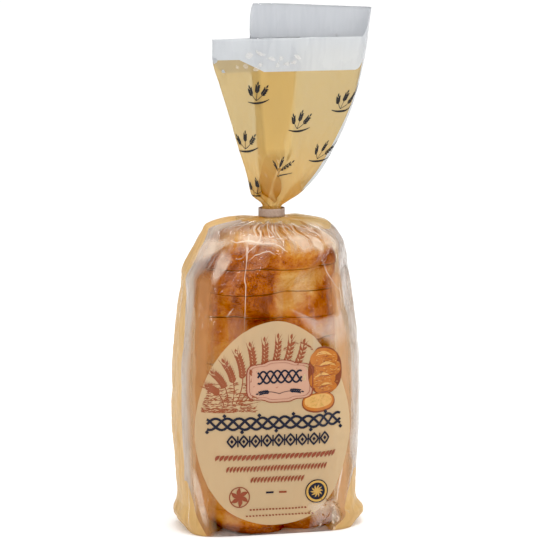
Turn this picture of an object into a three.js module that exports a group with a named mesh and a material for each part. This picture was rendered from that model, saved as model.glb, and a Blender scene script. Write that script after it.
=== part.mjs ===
// A sliced brioche loaf in a clear film bag, standing on its end.
// Units are millimetres, +Z is up and the front of the bag faces -Y.
// The origin is on the floor, under the middle of the loaf.
//
// The bag is one closed solid out to its film. From the floor up it has a flat folded bottom with an ear
// at each side, a body round the loaf, shoulders that gather in pleats, a neck, and a flat fan whose back
// panel is a taller lip. A band is wrapped round the neck.

import * as THREE from 'three';

// Depth of the loaf, as the film follows it
const LOAF_DEPTH = 86;
const FILM_SLACK = 3;

// Heights
const BELLY_HEIGHT = 110;
const CHEST_STARTS = 140;
const CHEST_ENDS = 245;
const BODY_HEIGHT = 232;
const SHOULDER_RISE = 50;
const NECK_LOW = 281;
const NECK_HIGH = 292;
const FRONT_EDGE_HEIGHT = 442;
const LIP_HEIGHT = 472;
const LIP_SLOPE = 0.055;

// Half widths of the bag's body, which sags to the left of the loaf
const FOOT_LEFT = 80;
const FOOT_RIGHT = 70;
const BELLY_LEFT = 88.5;
const BELLY_RIGHT = 80;
const CHEST_LEFT = 79.5;
const CHEST_RIGHT = 67;

// The folded bottom draws in a little at the floor, and its two ears stand out just above it
const FOOT_INSET = 2;
const FOOT_INSET_HEIGHT = 10;
const EAR_HEIGHT = 12;
const EAR_SPREAD = 7;
const EAR_REACH_LEFT = 7.5;
const EAR_REACH_RIGHT = 13;
const EAR_DEPTH_SHARE = 0.4;

// Squareness of the shoulders in side view, and of the section: 2 is an ellipse and more is boxier.
// The left shoulder slopes in evenly, by a share of its width, until it turns over to the neck.
const LEFT_SHOULDER = 3.2;
const LEFT_SLOPE = 0.33;
const RIGHT_SHOULDER = 3.2;
const FRONT_SHOULDER = 2.6;
const FOOT_SQUARE = 5;
const FOOT_SQUARE_HEIGHT = 45;
const FRONT_SQUARE = 2.9;
const BACK_SQUARE = 4.5;
const ROUND = 2;

// Half sizes of the neck, and the band round it
const NECK_HALF_WIDTH = 10.8;
const NECK_HALF_DEPTH = 9.2;
const BAND_GAP = 0.4;
const BAND_WALL = 0.9;
const BAND_LOW = 282;
const BAND_HEIGHT = 8;

// The fan's mouth in plan, from the middle of its right end round past the back, the left and the front
const MOUTH = [[90, 1], [91.5, 8], [-20, 8], [-56, -7], [88, -6]];
const LIP_STARTS_Y = 0;
const LIP_FULL_Y = 3;
const LEFT_OPENS_OVER = 130;
const LEFT_OPENS_POWER = 0.9;
const RIGHT_OPENS_OVER = 72;
const OPENS_ACROSS = 25;
const NECK_BULGE = 5.5;
const NECK_BULGE_REACH = 56;
const NECK_BULGE_RISE = 8;
const NECK_BULGE_FADE = 55;
const BELLY_OUT = 7;
const BELLY_OUT_HEIGHT = 26;
const BELLY_OUT_SPREAD = 22;

// Pleats round the neck
const PLEATS = 12;
const PLEAT_DEPTH = 0.13;
const PLEAT_BIAS = 1.5;
const PLEAT_FADE = 22;

// Fineness of the mesh
const SIDES = 72;
const BODY_RINGS = 12;
const SHOULDER_RINGS = 9;
const NECK_RINGS = 3;
const FAN_RINGS = 15;
const BAND_SIDES = 48;

// Rings are set closer together where the shape turns faster: near the floor and near the neck
const FOOT_CROWDING = 1.6;
const SHOULDER_CROWDING = 0.8;
const NECK_CROWDING = 1.3;

const mix = THREE.MathUtils.lerp;
const clamp = THREE.MathUtils.clamp;
const smooth = THREE.MathUtils.smoothstep;
const bell = (value, centre, spread) => Math.exp(-(((value - centre) / spread) ** 2));

// A section holds the half sizes of the bag's outline at one height, how square its front is, how far it
// has become an ellipse, how deep its pleats are, and how far its ears stand out.

function bodySection(z) {
  const rise = 1 - (1 - Math.min(1, z / BELLY_HEIGHT)) ** 2;
  const narrow = smooth(z, CHEST_STARTS, CHEST_ENDS);
  return {
    left: mix(mix(FOOT_LEFT, BELLY_LEFT, rise), CHEST_LEFT, narrow),
    right: mix(mix(FOOT_RIGHT, BELLY_RIGHT, rise), CHEST_RIGHT, narrow),
    depth: LOAF_DEPTH / 2 + FILM_SLACK - FOOT_INSET * (1 - smooth(z, 0, FOOT_INSET_HEIGHT)),
    frontSquare: mix(FOOT_SQUARE, FRONT_SQUARE, smooth(z, 0, FOOT_SQUARE_HEIGHT)),
    round: 0,
    pleat: 0,
    ear: bell(z, EAR_HEIGHT, EAR_SPREAD),
  };
}

// A quarter of a superellipse in side view, from the body's top edge in to the neck
function shoulderSection(rise) {
  const chest = bodySection(BODY_HEIGHT);
  const reach = (power) => (1 - rise ** power) ** (1 / power);
  const inward = 1 - reach(FRONT_SHOULDER);
  return {
    left: mix(NECK_HALF_WIDTH, chest.left, Math.min(1 - LEFT_SLOPE * rise, reach(LEFT_SHOULDER))),
    right: mix(NECK_HALF_WIDTH, chest.right, reach(RIGHT_SHOULDER)),
    depth: mix(NECK_HALF_DEPTH, chest.depth, 1 - inward),
    frontSquare: FRONT_SQUARE,
    round: inward,
    pleat: PLEAT_DEPTH * Math.sin(Math.PI * inward ** PLEAT_BIAS),
    ear: 0,
  };
}

// One point of a section's outline, at turn 0 to 1 round from +X
function outlinePoint(section, turn) {
  const angle = 2 * Math.PI * turn;
  const across = Math.cos(angle);
  const along = Math.sin(angle);
  const square = mix(along < 0 ? section.frontSquare : BACK_SQUARE, ROUND, section.round);
  const reach = across < 0 ? section.left : section.right;
  const earReach = across < 0 ? EAR_REACH_LEFT : EAR_REACH_RIGHT;
  const ear = section.ear * earReach * bell(along, 0, EAR_DEPTH_SHARE);
  const pleat = 1 - section.pleat * pleatWave(angle);
  const x = Math.sign(across) * (reach * Math.abs(across) ** (2 / square) + ear);
  const y = Math.sign(along) * section.depth * Math.abs(along) ** (2 / square);
  return new THREE.Vector2(x * pleat, y * pleat);
}

function pleatWave(angle) {
  return 0.5 + 0.5 * Math.cos(PLEATS * angle);
}

function neckPoint(turn) {
  const angle = 2 * Math.PI * turn;
  return new THREE.Vector2(NECK_HALF_WIDTH * Math.cos(angle), NECK_HALF_DEPTH * Math.sin(angle));
}

// The mouth's outline as a path of straight sides, which gives points at equal distances along it
function mouthPath() {
  const path = new THREE.Path(MOUTH.map(([x, y]) => new THREE.Vector2(x, y)));
  path.closePath();
  return path;
}

// How far a point bound for x on the mouth has opened at a height above the neck, from 0 to 1:
// slowly and straight on the left, and in a quick curve on the right
function fanOpening(x, height) {
  const left = Math.min(1, height / LEFT_OPENS_OVER) ** LEFT_OPENS_POWER;
  const full = 1 - Math.exp(-(LIP_HEIGHT - NECK_HIGH) / RIGHT_OPENS_OVER);
  const right = (1 - Math.exp(-height / RIGHT_OPENS_OVER)) / full;
  return mix(left, right, smooth(x, -OPENS_ACROSS, OPENS_ACROSS));
}

// The open top is level along the front, and the back panel goes on up as a lip that slopes to the right
function edgeHeight(mouth) {
  const lip = LIP_HEIGHT - LIP_SLOPE * Math.max(0, mouth.x);
  return mix(FRONT_EDGE_HEIGHT, lip, smooth(mouth.y, LIP_STARTS_Y, LIP_FULL_Y));
}

// One point of the fan, on its way from the neck to its own place on the mouth
function fanPoint(turn, mouth, share) {
  const start = neckPoint(turn);
  const height = share * (edgeHeight(mouth) - NECK_HIGH);
  const opening = fanOpening(mouth.x, height);
  const free = smooth(height, 0, NECK_BULGE_RISE);
  const sideways = clamp(mouth.x / NECK_BULGE_REACH, -1, 1);
  const bulge = NECK_BULGE * sideways * free * Math.exp(-height / NECK_BULGE_FADE);
  const belly = BELLY_OUT * free * bell(height, BELLY_OUT_HEIGHT, BELLY_OUT_SPREAD);
  const pleat = 1 - PLEAT_DEPTH * pleatWave(2 * Math.PI * turn) * free * Math.exp(-height / PLEAT_FADE);
  const x = mix(start.x, mouth.x, opening) + bulge;
  const y = mix(start.y, mouth.y, opening) + belly * (start.y / NECK_HALF_DEPTH);
  return new THREE.Vector3(x * pleat, y * pleat, NECK_HIGH + height);
}

function ring(pointAt) {
  return Array.from({ length: SIDES }, (_, side) => pointAt(side / SIDES));
}

function levelRing(outlineAt, z) {
  return ring((turn) => {
    const point = outlineAt(turn);
    return new THREE.Vector3(point.x, point.y, z);
  });
}

function bagRings() {
  const rings = [];
  for (let step = 0; step <= BODY_RINGS; step += 1) {
    const z = BODY_HEIGHT * (step / BODY_RINGS) ** FOOT_CROWDING;
    rings.push(levelRing((turn) => outlinePoint(bodySection(z), turn), z));
  }
  for (let step = 1; step < SHOULDER_RINGS; step += 1) {
    const rise = Math.sin((step / SHOULDER_RINGS) * (Math.PI / 2)) ** SHOULDER_CROWDING;
    const section = shoulderSection(rise);
    rings.push(levelRing((turn) => outlinePoint(section, turn), BODY_HEIGHT + SHOULDER_RISE * rise));
  }
  for (let step = 0; step < NECK_RINGS; step += 1) {
    rings.push(levelRing(neckPoint, mix(NECK_LOW, NECK_HIGH, step / NECK_RINGS)));
  }
  const mouth = mouthPath();
  for (let step = 0; step <= FAN_RINGS; step += 1) {
    const share = (step / FAN_RINGS) ** NECK_CROWDING;
    rings.push(ring((turn) => fanPoint(turn, mouth.getPointAt(turn), share)));
  }
  return rings;
}

// A closed solid through the rings, lowest first, with a fan of triangles over each end
function loft(rings) {
  const sides = rings[0].length;
  const positions = rings.flat().flatMap((point) => [point.x, point.y, point.z]);
  const indices = [];
  for (let row = 0; row + 1 < rings.length; row += 1) {
    for (let side = 0; side < sides; side += 1) {
      const next = (side + 1) % sides;
      const a = row * sides + side;
      const b = row * sides + next;
      indices.push(a, b, b + sides, a, b + sides, a + sides);
    }
  }
  const middle = (points) => points
    .reduce((sum, point) => sum.add(point), new THREE.Vector3())
    .divideScalar(points.length);
  const cap = (row, outward) => {
    const centre = middle(rings[row]);
    const hub = positions.length / 3;
    positions.push(centre.x, centre.y, centre.z);
    for (let side = 0; side < sides; side += 1) {
      const a = row * sides + side;
      const b = row * sides + ((side + 1) % sides);
      indices.push(...(outward ? [hub, a, b] : [hub, b, a]));
    }
  };
  cap(0, false);
  cap(rings.length - 1, true);
  const geometry = new THREE.BufferGeometry();
  geometry.setAttribute('position', new THREE.Float32BufferAttribute(positions, 3));
  geometry.setIndex(indices);
  geometry.computeVertexNormals();
  return geometry;
}

function makeBag() {
  const film = new THREE.MeshStandardMaterial({ color: '#d2b07c', roughness: 0.25, metalness: 0 });
  const bag = new THREE.Mesh(loft(bagRings()), film);
  bag.name = 'bag';
  return bag;
}

function makeBand() {
  const innerX = NECK_HALF_WIDTH + BAND_GAP;
  const innerY = NECK_HALF_DEPTH + BAND_GAP;
  const outline = new THREE.Shape();
  outline.absellipse(0, 0, innerX + BAND_WALL, innerY + BAND_WALL, 0, 2 * Math.PI);
  const hole = new THREE.Path();
  hole.absellipse(0, 0, innerX, innerY, 0, 2 * Math.PI);
  outline.holes.push(hole);
  const tape = new THREE.MeshStandardMaterial({ color: '#c9b8b0', roughness: 0.5, metalness: 0 });
  const wrap = new THREE.ExtrudeGeometry(outline, {
    depth: BAND_HEIGHT,
    bevelEnabled: false,
    curveSegments: BAND_SIDES,
  });
  const band = new THREE.Mesh(wrap, tape);
  band.name = 'neck_band';
  band.position.z = BAND_LOW;
  return band;
}

const brioche = new THREE.Group();
brioche.add(makeBag(), makeBand());

export default brioche;
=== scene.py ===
# %% [markdown]
# A sliced brioche in its bag.
# The real thing is a braided loaf, baked with an egg wash, cut into twelve slices and slid into a tube of
# clear film. The film is gathered over the top of the loaf, a white band is wrapped round the neck, and the
# loose end above the band fans out. The lesson makes the loaf first, then the film round it, then the band
# and the ink of the print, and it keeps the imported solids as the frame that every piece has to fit.

# %% Load the frame
import functools
import math
import random

import bmesh
import bpy
from mathutils import Matrix, Vector, geometry, noise
from mathutils.bvhtree import BVHTree


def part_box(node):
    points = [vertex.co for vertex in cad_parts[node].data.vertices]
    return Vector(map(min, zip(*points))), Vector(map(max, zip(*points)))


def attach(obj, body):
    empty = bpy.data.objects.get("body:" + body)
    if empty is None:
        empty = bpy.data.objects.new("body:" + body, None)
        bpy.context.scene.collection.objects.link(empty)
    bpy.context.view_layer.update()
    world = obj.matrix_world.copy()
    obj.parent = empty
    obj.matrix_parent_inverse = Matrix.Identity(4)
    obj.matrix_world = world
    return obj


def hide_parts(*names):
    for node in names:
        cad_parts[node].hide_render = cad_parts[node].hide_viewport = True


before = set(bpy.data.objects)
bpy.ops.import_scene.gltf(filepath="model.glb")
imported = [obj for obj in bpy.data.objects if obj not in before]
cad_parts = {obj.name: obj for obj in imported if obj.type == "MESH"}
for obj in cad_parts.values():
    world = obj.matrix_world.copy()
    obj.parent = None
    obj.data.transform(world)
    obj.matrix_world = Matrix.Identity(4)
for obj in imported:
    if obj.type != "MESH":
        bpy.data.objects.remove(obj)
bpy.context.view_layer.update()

bag_low, bag_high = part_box("bag")
band_low, band_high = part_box("neck_band")
print("bag box", [round(value, 4) for value in (*bag_low, *bag_high)])
print("band box", [round(value, 4) for value in (*band_low, *band_high)])

# %% [markdown]
# Every number below is a real size in millimetres, so one constant turns it into Blender's metres. Three
# small curves do most of the shaping: mix goes from one value to another, ease goes smoothly from 0 to 1
# between two marks, and bell is a soft bump round a centre. Polar gives a point on a circle or an ellipse.

# %% Small helpers for sizes and curves
MM = 0.001


def mix(start, end, share):
    return start + (end - start) * share


def clamp(value, low=0.0, high=1.0):
    return min(high, max(low, value))


def ease(value, low, high):
    share = clamp((value - low) / (high - low))
    return share * share * (3 - 2 * share)


def bell(value, centre, spread):
    return math.exp(-(((value - centre) / spread) ** 2))


def polar(angle, across, up=None):
    """The point at an angle on a circle, or on an ellipse with two half sizes."""
    return Vector((across * math.cos(angle), (across if up is None else up) * math.sin(angle)))


# %% [markdown]
# Colours are written the way a colour picker shows them, as sRGB hex, and Cycles wants linear light, so one
# function turns the one into the other. A second function adds a shader node with its settings and links.
# The functions after it are the few groups of nodes that come back in many materials.

# %% Helpers for colours and nodes
def colour(code):
    """An sRGB hex code as linear red, green, blue and alpha."""
    parts = [int(code[place:place + 2], 16) / 255 for place in (1, 3, 5)]
    linear = [part / 12.92 if part <= 0.04045 else ((part + 0.055) / 1.055) ** 2.4 for part in parts]
    return (*linear, 1.0)


def add(tree, kind, settings=None, links=None):
    """Adds a node, sets its properties and sockets, and links its inputs to other nodes' outputs."""
    node = tree.nodes.new("ShaderNode" + kind)
    for name, value in (settings or {}).items():
        if isinstance(name, str) and hasattr(node, name):
            setattr(node, name, value)
        else:
            node.inputs[name].default_value = value
    for name, source in (links or {}).items():
        tree.links.new(source, node.inputs[name])
    return node


def new_material(name):
    """An empty node material and its output node."""
    material = bpy.data.materials.new(name)
    material.use_nodes = True
    material.node_tree.nodes.clear()
    return material, material.node_tree, add(material.node_tree, "OutputMaterial")


def ramp(tree, value, stops):
    """The colour that a ramp gives to a value, with stops as pairs of place and hex code."""
    node = add(tree, "ValToRGB", links={"Fac": value})
    elements = node.color_ramp.elements
    while len(elements) < len(stops):
        elements.new(0.5)
    for element, (place, code) in zip(elements, stops):
        element.position = place
        element.color = colour(code)
    return node.outputs["Color"]


def spots(tree, size, **settings):
    """Noise over the piece, with spots of a size in millimetres."""
    place = add(tree, "TexCoord").outputs["Object"]
    return add(tree, "TexNoise", {"Scale": 1 / (size * MM), **settings}, {"Vector": place}).outputs["Fac"]


def bump(tree, height, strength, distance):
    """The normal of a surface with a fine relief."""
    settings = {"Strength": strength, "Distance": distance}
    return add(tree, "Bump", settings, {"Height": height}).outputs["Normal"]


def finish_material(tree, output, settings, links):
    """Makes a principled shader the surface of a material."""
    shader = add(tree, "BsdfPrincipled", settings, links)
    tree.links.new(shader.outputs["BSDF"], output.inputs["Surface"])


# %% [markdown]
# A field of colour is a mask that is worked out node by node. These functions take numbers, hex codes and
# other nodes' outputs alike, so that a mask reads like a formula.

# %% Helpers for masks
def feed(tree, node, place, value):
    """Gives an input a fixed value, or links another node's output to it."""
    if isinstance(value, bpy.types.NodeSocket):
        tree.links.new(value, node.inputs[place])
    else:
        node.inputs[place].default_value = colour(value) if isinstance(value, str) else value


def calc(tree, operation, *values):
    """The output of a math node whose inputs are numbers or other nodes' outputs."""
    node = add(tree, "Math", {"operation": operation})
    for place, value in enumerate(values):
        feed(tree, node, place, value)
    return node.outputs["Value"]


def times(tree, *values):
    """The product of numbers or other nodes' outputs, which is where all of the masks overlap."""
    return functools.reduce(lambda one, other: calc(tree, "MULTIPLY", one, other), values)


def most(tree, *values):
    """The largest of numbers or other nodes' outputs, which is where any of the masks is."""
    return functools.reduce(lambda one, other: calc(tree, "MAXIMUM", one, other), values)


def remap(tree, value, low, high, start=0.0, end=1.0):
    """The output of a map range node, which holds still outside its two marks."""
    node = add(tree, "MapRange", {"From Min": low, "From Max": high, "To Min": start, "To Max": end})
    feed(tree, node, "Value", value)
    return node.outputs["Result"]


def blend(tree, share, under, over):
    """A mix of two colours, given as hex codes or as other nodes' outputs."""
    node = add(tree, "Mix", {"data_type": "RGBA"})
    for place, value in ((0, share), (6, under), (7, over)):
        feed(tree, node, place, value)
    return node.outputs[2]


# %% [markdown]
# Meshes are shaped in bmesh and then become objects. A finished piece rides on the pack's one body, and its
# object stays at the origin, because the frame's own coordinates are used throughout.

# %% Helpers for meshes and pieces
def mesh_from(shaper, name):
    """Turns a bmesh into a mesh, and frees it."""
    mesh = bpy.data.meshes.new(name)
    shaper.to_mesh(mesh)
    shaper.free()
    return mesh


def new_object(name, data):
    """An object at the origin, linked to the scene."""
    made = bpy.data.objects.new(name, data)
    bpy.context.scene.collection.objects.link(made)
    return made


def applied(helper):
    """A helper object's mesh with its modifiers applied."""
    return bpy.data.meshes.new_from_object(helper.evaluated_get(bpy.context.evaluated_depsgraph_get()))


def new_piece(name, mesh, materials):
    """A smooth mesh as a piece of the pack that rides on its one body."""
    piece = new_object(name, mesh)
    for material in materials:
        mesh.materials.append(material)
    mesh.shade_smooth()
    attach(piece, "root")
    return piece


# %% [markdown]
# The pack was photographed from a little to its left and a little above, from a few steps away with a long
# lens. The camera is placed on a sphere round the pack's middle by those two angles, and looks
# at that middle.

# %% Camera
CAMERA_AZIMUTH = -12.5
CAMERA_ELEVATION = 10.0
CAMERA_DISTANCE = 2.6
CAMERA_LENS = 193
AIM = Vector((-1.5, 0, 233.0)) * MM

azimuth = math.radians(CAMERA_AZIMUTH)
elevation = math.radians(CAMERA_ELEVATION)
towards_camera = Vector((
    math.sin(azimuth) * math.cos(elevation),
    -math.cos(azimuth) * math.cos(elevation),
    math.sin(elevation),
))
camera = new_object("camera", bpy.data.cameras.new("camera"))
camera.data.lens = CAMERA_LENS
camera.location = AIM + towards_camera * CAMERA_DISTANCE
camera.rotation_mode = "QUATERNION"
camera.rotation_quaternion = towards_camera.to_track_quat("Z", "Y")
bpy.context.scene.camera = camera
print("camera at", [round(value, 3) for value in camera.location])

# %% [markdown]
# Film shows mostly by what it mirrors, so the light matters as much as the material. A pale even world
# lifts the shadows, and a few small bright softboxes give the film its sharp white streaks. A large pale
# floor takes the soft shadow. Film is many layers thick at the neck, so rays may pass through more
# transparent surfaces than usual.

# %% World, softboxes and floor
HORIZON_LIGHT = 0.42
ZENITH_LIGHT = 1.5

world = bpy.data.worlds.new("studio")
world.use_nodes = True
tree = world.node_tree
direction = add(tree, "SeparateXYZ", links={"Vector": add(tree, "TexCoord").outputs["Generated"]})
overhead = remap(tree, direction.outputs["Z"], 0, 0.9, HORIZON_LIGHT, ZENITH_LIGHT)
tree.nodes["Background"].inputs["Color"].default_value = colour("#fdfdfd")
tree.links.new(overhead, tree.nodes["Background"].inputs["Strength"])
bpy.context.scene.world = world

# name, place in metres, width and height in metres, power in watts
SOFTBOXES = (
    ("key", (-0.95, -1.25, 0.70), 0.14, 0.90, 7.0),
    ("fill", (1.25, -0.85, 0.55), 0.12, 0.80, 4.5),
    ("top", (0.10, -0.35, 1.45), 0.50, 0.14, 4.0),
    ("back", (0.45, 1.20, 0.90), 0.50, 0.50, 3.0),
)
for name, place, width, height, power in SOFTBOXES:
    lamp = bpy.data.lights.new(name, "AREA")
    lamp.shape = "RECTANGLE"
    lamp.size = width
    lamp.size_y = height
    lamp.energy = power
    box = new_object(name, lamp)
    box.location = place
    box.rotation_mode = "QUATERNION"
    box.rotation_quaternion = (Vector(place) - AIM).to_track_quat("Z", "Y")

painted_board, tree, output = new_material("painted_white_board")
# A matt painted board has a faint uneven sheen that is far too fine to see from here.
shade = ramp(tree, spots(tree, 25), ((0.0, "#f4f4f4"), (1.0, "#f7f7f7")))
finish_material(tree, output, {"Roughness": 0.8}, {"Base Color": shade})

FLOOR_HALF_WIDTH = 60.0
shaper = bmesh.new()
bmesh.ops.create_grid(shaper, x_segments=4, y_segments=4, size=FLOOR_HALF_WIDTH)
floor_mesh = mesh_from(shaper, "floor")
floor_mesh.materials.append(painted_board)
floor = new_object("floor", floor_mesh)

TRANSPARENT_LAYERS = 48
BLACK_LEVEL = 0.03
bpy.context.scene.cycles.transparent_max_bounces = TRANSPARENT_LAYERS
view = bpy.context.scene.view_settings
view.view_transform = "Standard"
view.use_curve_mapping = True
view.curve_mapping.black_level = (BLACK_LEVEL, BLACK_LEVEL, BLACK_LEVEL)
view.curve_mapping.update()
print("softboxes", [box[0] for box in SOFTBOXES])

# %% [markdown]
# The loaf is a plait of three ropes of dough that grew together in the oven. Seen from the front the ropes
# cross over each other in turn from the left and from the right. In plan, a rope's centre swings from side
# to side once in a period and dips behind the others twice in a period, which is a textbook plait. Each
# rope starts as a straight cylinder that is cut into rings, and each ring is then slid to its place.

# %% Sizes of the loaf and the path of its ropes
LOAF_HEIGHT = 261
LOAF_MIDDLE_X = -4
ROPE_RADIUS = 32
ROPE_SWING = 31
ROPE_DIP = 10
ROPE_CENTRE_Y = -2
PLAIT_PERIOD = 210
PLAIT_START = 190
ROPES = 3
TAPER_HEIGHT = 26
TOP_TAPER_HEIGHT = 11
LOW_TAPER = 0.07
TOP_TAPER = 0.1
TAPER_POWER = 2.4
END_DOME = 13
END_SAG = 9
SAG_FROM, SAG_TO = 36, 68
CORE_HALF_WIDTH = 61
CORE_FRONT = -22
CORE_BACK = 43
CORE_BEVEL = 16
GIRTH_SWELL = 0.05


def rope_centre(rope, z):
    """The middle of a rope at height z. Its turn grows downwards, so that the plait's arrows point down."""
    turn = 2 * math.pi * ((PLAIT_START - z) / PLAIT_PERIOD + rope / ROPES)
    return LOAF_MIDDLE_X + ROPE_SWING * math.sin(turn), ROPE_CENTRE_Y + ROPE_DIP * math.sin(2 * turn)


def end_dome(x, y, z):
    """How far the loaf's top end bulges up at a place, in millimetres. Its left corner sags instead."""
    x -= LOAF_MIDDLE_X
    across = 1 - (x / (CORE_HALF_WIDTH + 6)) ** 2
    along = 1 - ((y - 2) / (CORE_BACK + 4)) ** 2
    dome = END_DOME * max(0.0, across) * max(0.0, along)
    return (dome - END_SAG * ease(-x, SAG_FROM, SAG_TO)) * ease(z, LOAF_HEIGHT - 30, LOAF_HEIGHT)


def end_taper(z):
    """The loaf is a little smaller close to its two ends, where the ropes were pinched together."""
    low = (1 - clamp(z / TAPER_HEIGHT)) ** TAPER_POWER
    high = (1 - clamp((LOAF_HEIGHT - z) / TOP_TAPER_HEIGHT)) ** TAPER_POWER
    return 1 - LOW_TAPER * low - TOP_TAPER * high


for rope in range(ROPES):
    print("rope", rope, "at mid height", [round(value, 1) for value in rope_centre(rope, LOAF_HEIGHT / 2)])

# %% Ropes and core of dough
ROPE_SEGMENTS = 28
ROPE_RINGS = 43


def make_rope(rope):
    """A cylinder cut into rings, each ring slid to the rope's path, with a little unevenness in its girth."""
    roller = bmesh.new()
    bmesh.ops.create_cone(
        roller, cap_ends=True, segments=ROPE_SEGMENTS, radius1=ROPE_RADIUS, radius2=ROPE_RADIUS,
        depth=LOAF_HEIGHT, matrix=Matrix.Translation((0, 0, LOAF_HEIGHT / 2)))
    upright = [edge for edge in roller.edges if abs(edge.verts[0].co.z - edge.verts[1].co.z) > 1]
    bmesh.ops.subdivide_edges(roller, edges=upright, cuts=ROPE_RINGS, use_grid_fill=True)
    for vertex in roller.verts:
        x, y = rope_centre(rope, vertex.co.z)
        swell = 1 + GIRTH_SWELL * noise.noise(Vector((vertex.co.z * 0.03, rope * 7.0, 0)))
        taper = end_taper(vertex.co.z)
        vertex.co.x = (x + vertex.co.x * swell) * taper
        vertex.co.y = (y + vertex.co.y * swell) * mix(1, taper, 0.5)
    return mesh_from(roller, f"rope_{rope}")


shaper = bmesh.new()
for rope in range(ROPES):
    shaper.from_mesh(make_rope(rope))
core = bmesh.ops.create_cube(shaper, size=1)
core_size = (2 * CORE_HALF_WIDTH, CORE_BACK - CORE_FRONT, LOAF_HEIGHT - 4)
bmesh.ops.scale(shaper, vec=core_size, verts=core["verts"])
core_place = (LOAF_MIDDLE_X, (CORE_BACK + CORE_FRONT) / 2, LOAF_HEIGHT / 2)
bmesh.ops.translate(shaper, vec=core_place, verts=core["verts"])
core_edges = {edge for vertex in core["verts"] for edge in vertex.link_edges}
bmesh.ops.bevel(
    shaper, geom=list(core_edges), offset=CORE_BEVEL, segments=5, profile=0.5, affect="EDGES", material=-1)
bmesh.ops.scale(shaper, vec=(MM, MM, MM), verts=shaper.verts)
dough_mesh = mesh_from(shaper, "dough")
print("dough parts", len(dough_mesh.polygons), "faces")

# %% [markdown]
# Dough that has proved and baked has no sharp joins, so the overlapping ropes and core are skinned with one
# voxel mesh and smoothed. That gives soft valleys between the ropes, as the oven does. A sculpted mesh
# would do as well, but a rule is easier to change. A second, much coarser skin is kept as the form that
# the film is draped over later.

# %% Skin the dough
SKIN_VOXEL = 2.2
FORM_VOXEL = 7.0


def skinned(mesh, voxel, smoothing):
    """A copy of the mesh under one even skin, with its valleys softened."""
    helper = new_object("skin_helper", mesh)
    remesh = helper.modifiers.new("skin", "REMESH")
    remesh.mode = "VOXEL"
    remesh.voxel_size = voxel * MM
    soften = helper.modifiers.new("soften", "SMOOTH")
    soften.factor = 0.5
    soften.iterations = smoothing
    skin = applied(helper)
    bpy.data.objects.remove(helper)
    return skin


loaf_skin = skinned(dough_mesh, SKIN_VOXEL, 5)
loaf_form = skinned(dough_mesh, FORM_VOXEL, 1)
print("skin", len(loaf_skin.polygons), "faces, form", len(loaf_form.polygons), "faces")

# %% [markdown]
# Where a rope comes out from under another, its dough was stretched after the egg wash went on, so it stays
# pale, while the proud parts turn dark and glossy. For every point of the skin, the nearest rope and the
# next nearest one say how close the seam is, and which of the two lies in front says whether the point is
# on the stretched side. The result is stored in an attribute that the crust's material reads.

# %% Store how far each point of the crust is baked
STRETCH_WIDTH = 1.1
STRETCH_BAKE = 0.16
PROUD_BAKE = 0.8
LOW_PROUD_BAKE = 0.42
SIDE_BAKE = 0.32
END_BAKE = 0.33
FOOT_BAKE = 0.6

# Below the top knot the ropes of this loaf part once more. The pale gap between them has an upright left
# edge, and a right edge that runs inwards from its high end to its low end.
KNOT_LOW = 182
GAP_LOW, GAP_HIGH = 200, 238
GAP_LEFT, GAP_RIGHT_LOW, GAP_RIGHT_HIGH = -4, 14, 54

# Unevenness: its strength, and how close its waves are along x, y and z
WANDER = ((0.2, (0.03, 0.03, 0.03)), (0.14, (0.11, 0.11, 0.11)))
RELIEF = ((0.7, (0.05, 0.05, 0.05)), (0.22, (0.32, 0.32, 0.13)))


def uneven_at(point, waves):
    """The sum of some noises at a point."""
    return sum(strength * noise.noise(point * Vector(closeness)) for strength, closeness in waves)


def bake_at(x, y, z):
    """0 where the dough is stretched and pale, 1 where it is proud and dark."""
    near = []
    for rope in range(ROPES):
        rope_x, rope_y = rope_centre(rope, z)
        near.append((math.hypot(x - rope_x, y - rope_y) / ROPE_RADIUS, rope_y))
    near.sort()
    wander = uneven_at(Vector((x, y, z)), WANDER)
    pale = 0.0
    for distance, rope_y in near[1:]:
        under = ease(near[0][1] - rope_y, 0, 0.6 * ROPE_DIP)
        beside = distance - near[0][0]
        pale = max(pale, under * ease(beside, 0, 0.1) * (1 - ease(beside + wander, 0.05, STRETCH_WIDTH)))
    right = mix(GAP_RIGHT_LOW, GAP_RIGHT_HIGH, clamp((z - GAP_LOW) / (GAP_HIGH - GAP_LOW)))
    past_left = ease(x + 16 * wander, GAP_LEFT - 3, GAP_LEFT + 5)
    past_right = ease(x + 50 * wander, right - 9, right + 9)
    over_low = ease(z + 30 * wander, GAP_LOW - 8, GAP_LOW + 8)
    over_high = ease(z + 20 * wander, GAP_HIGH - 5, GAP_HIGH + 5)
    in_gap = past_left * (1 - past_right) * over_low * (1 - over_high)
    pale = mix(pale, 0.9 * in_gap, ease(z, KNOT_LOW - 10, KNOT_LOW + 6))
    proud = mix(LOW_PROUD_BAKE, PROUD_BAKE, ease(z + 30 * wander, KNOT_LOW - 22, KNOT_LOW + 14))
    front = mix(mix(proud, STRETCH_BAKE, pale), SIDE_BAKE, ease(y, -14, 20))
    top = mix(front, END_BAKE, ease(z, LOAF_HEIGHT - 14, LOAF_HEIGHT - 2))
    return clamp(top + wander + FOOT_BAKE * (1 - ease(z, 3, 14)))


bake = loaf_skin.attributes.new("bake", "FLOAT", "POINT")
normals = [vertex.normal.copy() for vertex in loaf_skin.vertices]
for vertex in loaf_skin.vertices:
    point = vertex.co / MM
    bake.data[vertex.index].value = bake_at(point.x, point.y, point.z)
    vertex.co += normals[vertex.index] * uneven_at(point, RELIEF) * MM
    vertex.co.z += end_dome(*point) * MM
for vertex in loaf_form.vertices:
    vertex.co.z += end_dome(*(vertex.co / MM)) * MM
reaches = [[vertex.co[axis] * 1000 for vertex in loaf_skin.vertices] for axis in range(3)]
print("loaf is", [round(max(reach) - min(reach), 1) for reach in reaches], "mm")

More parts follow.
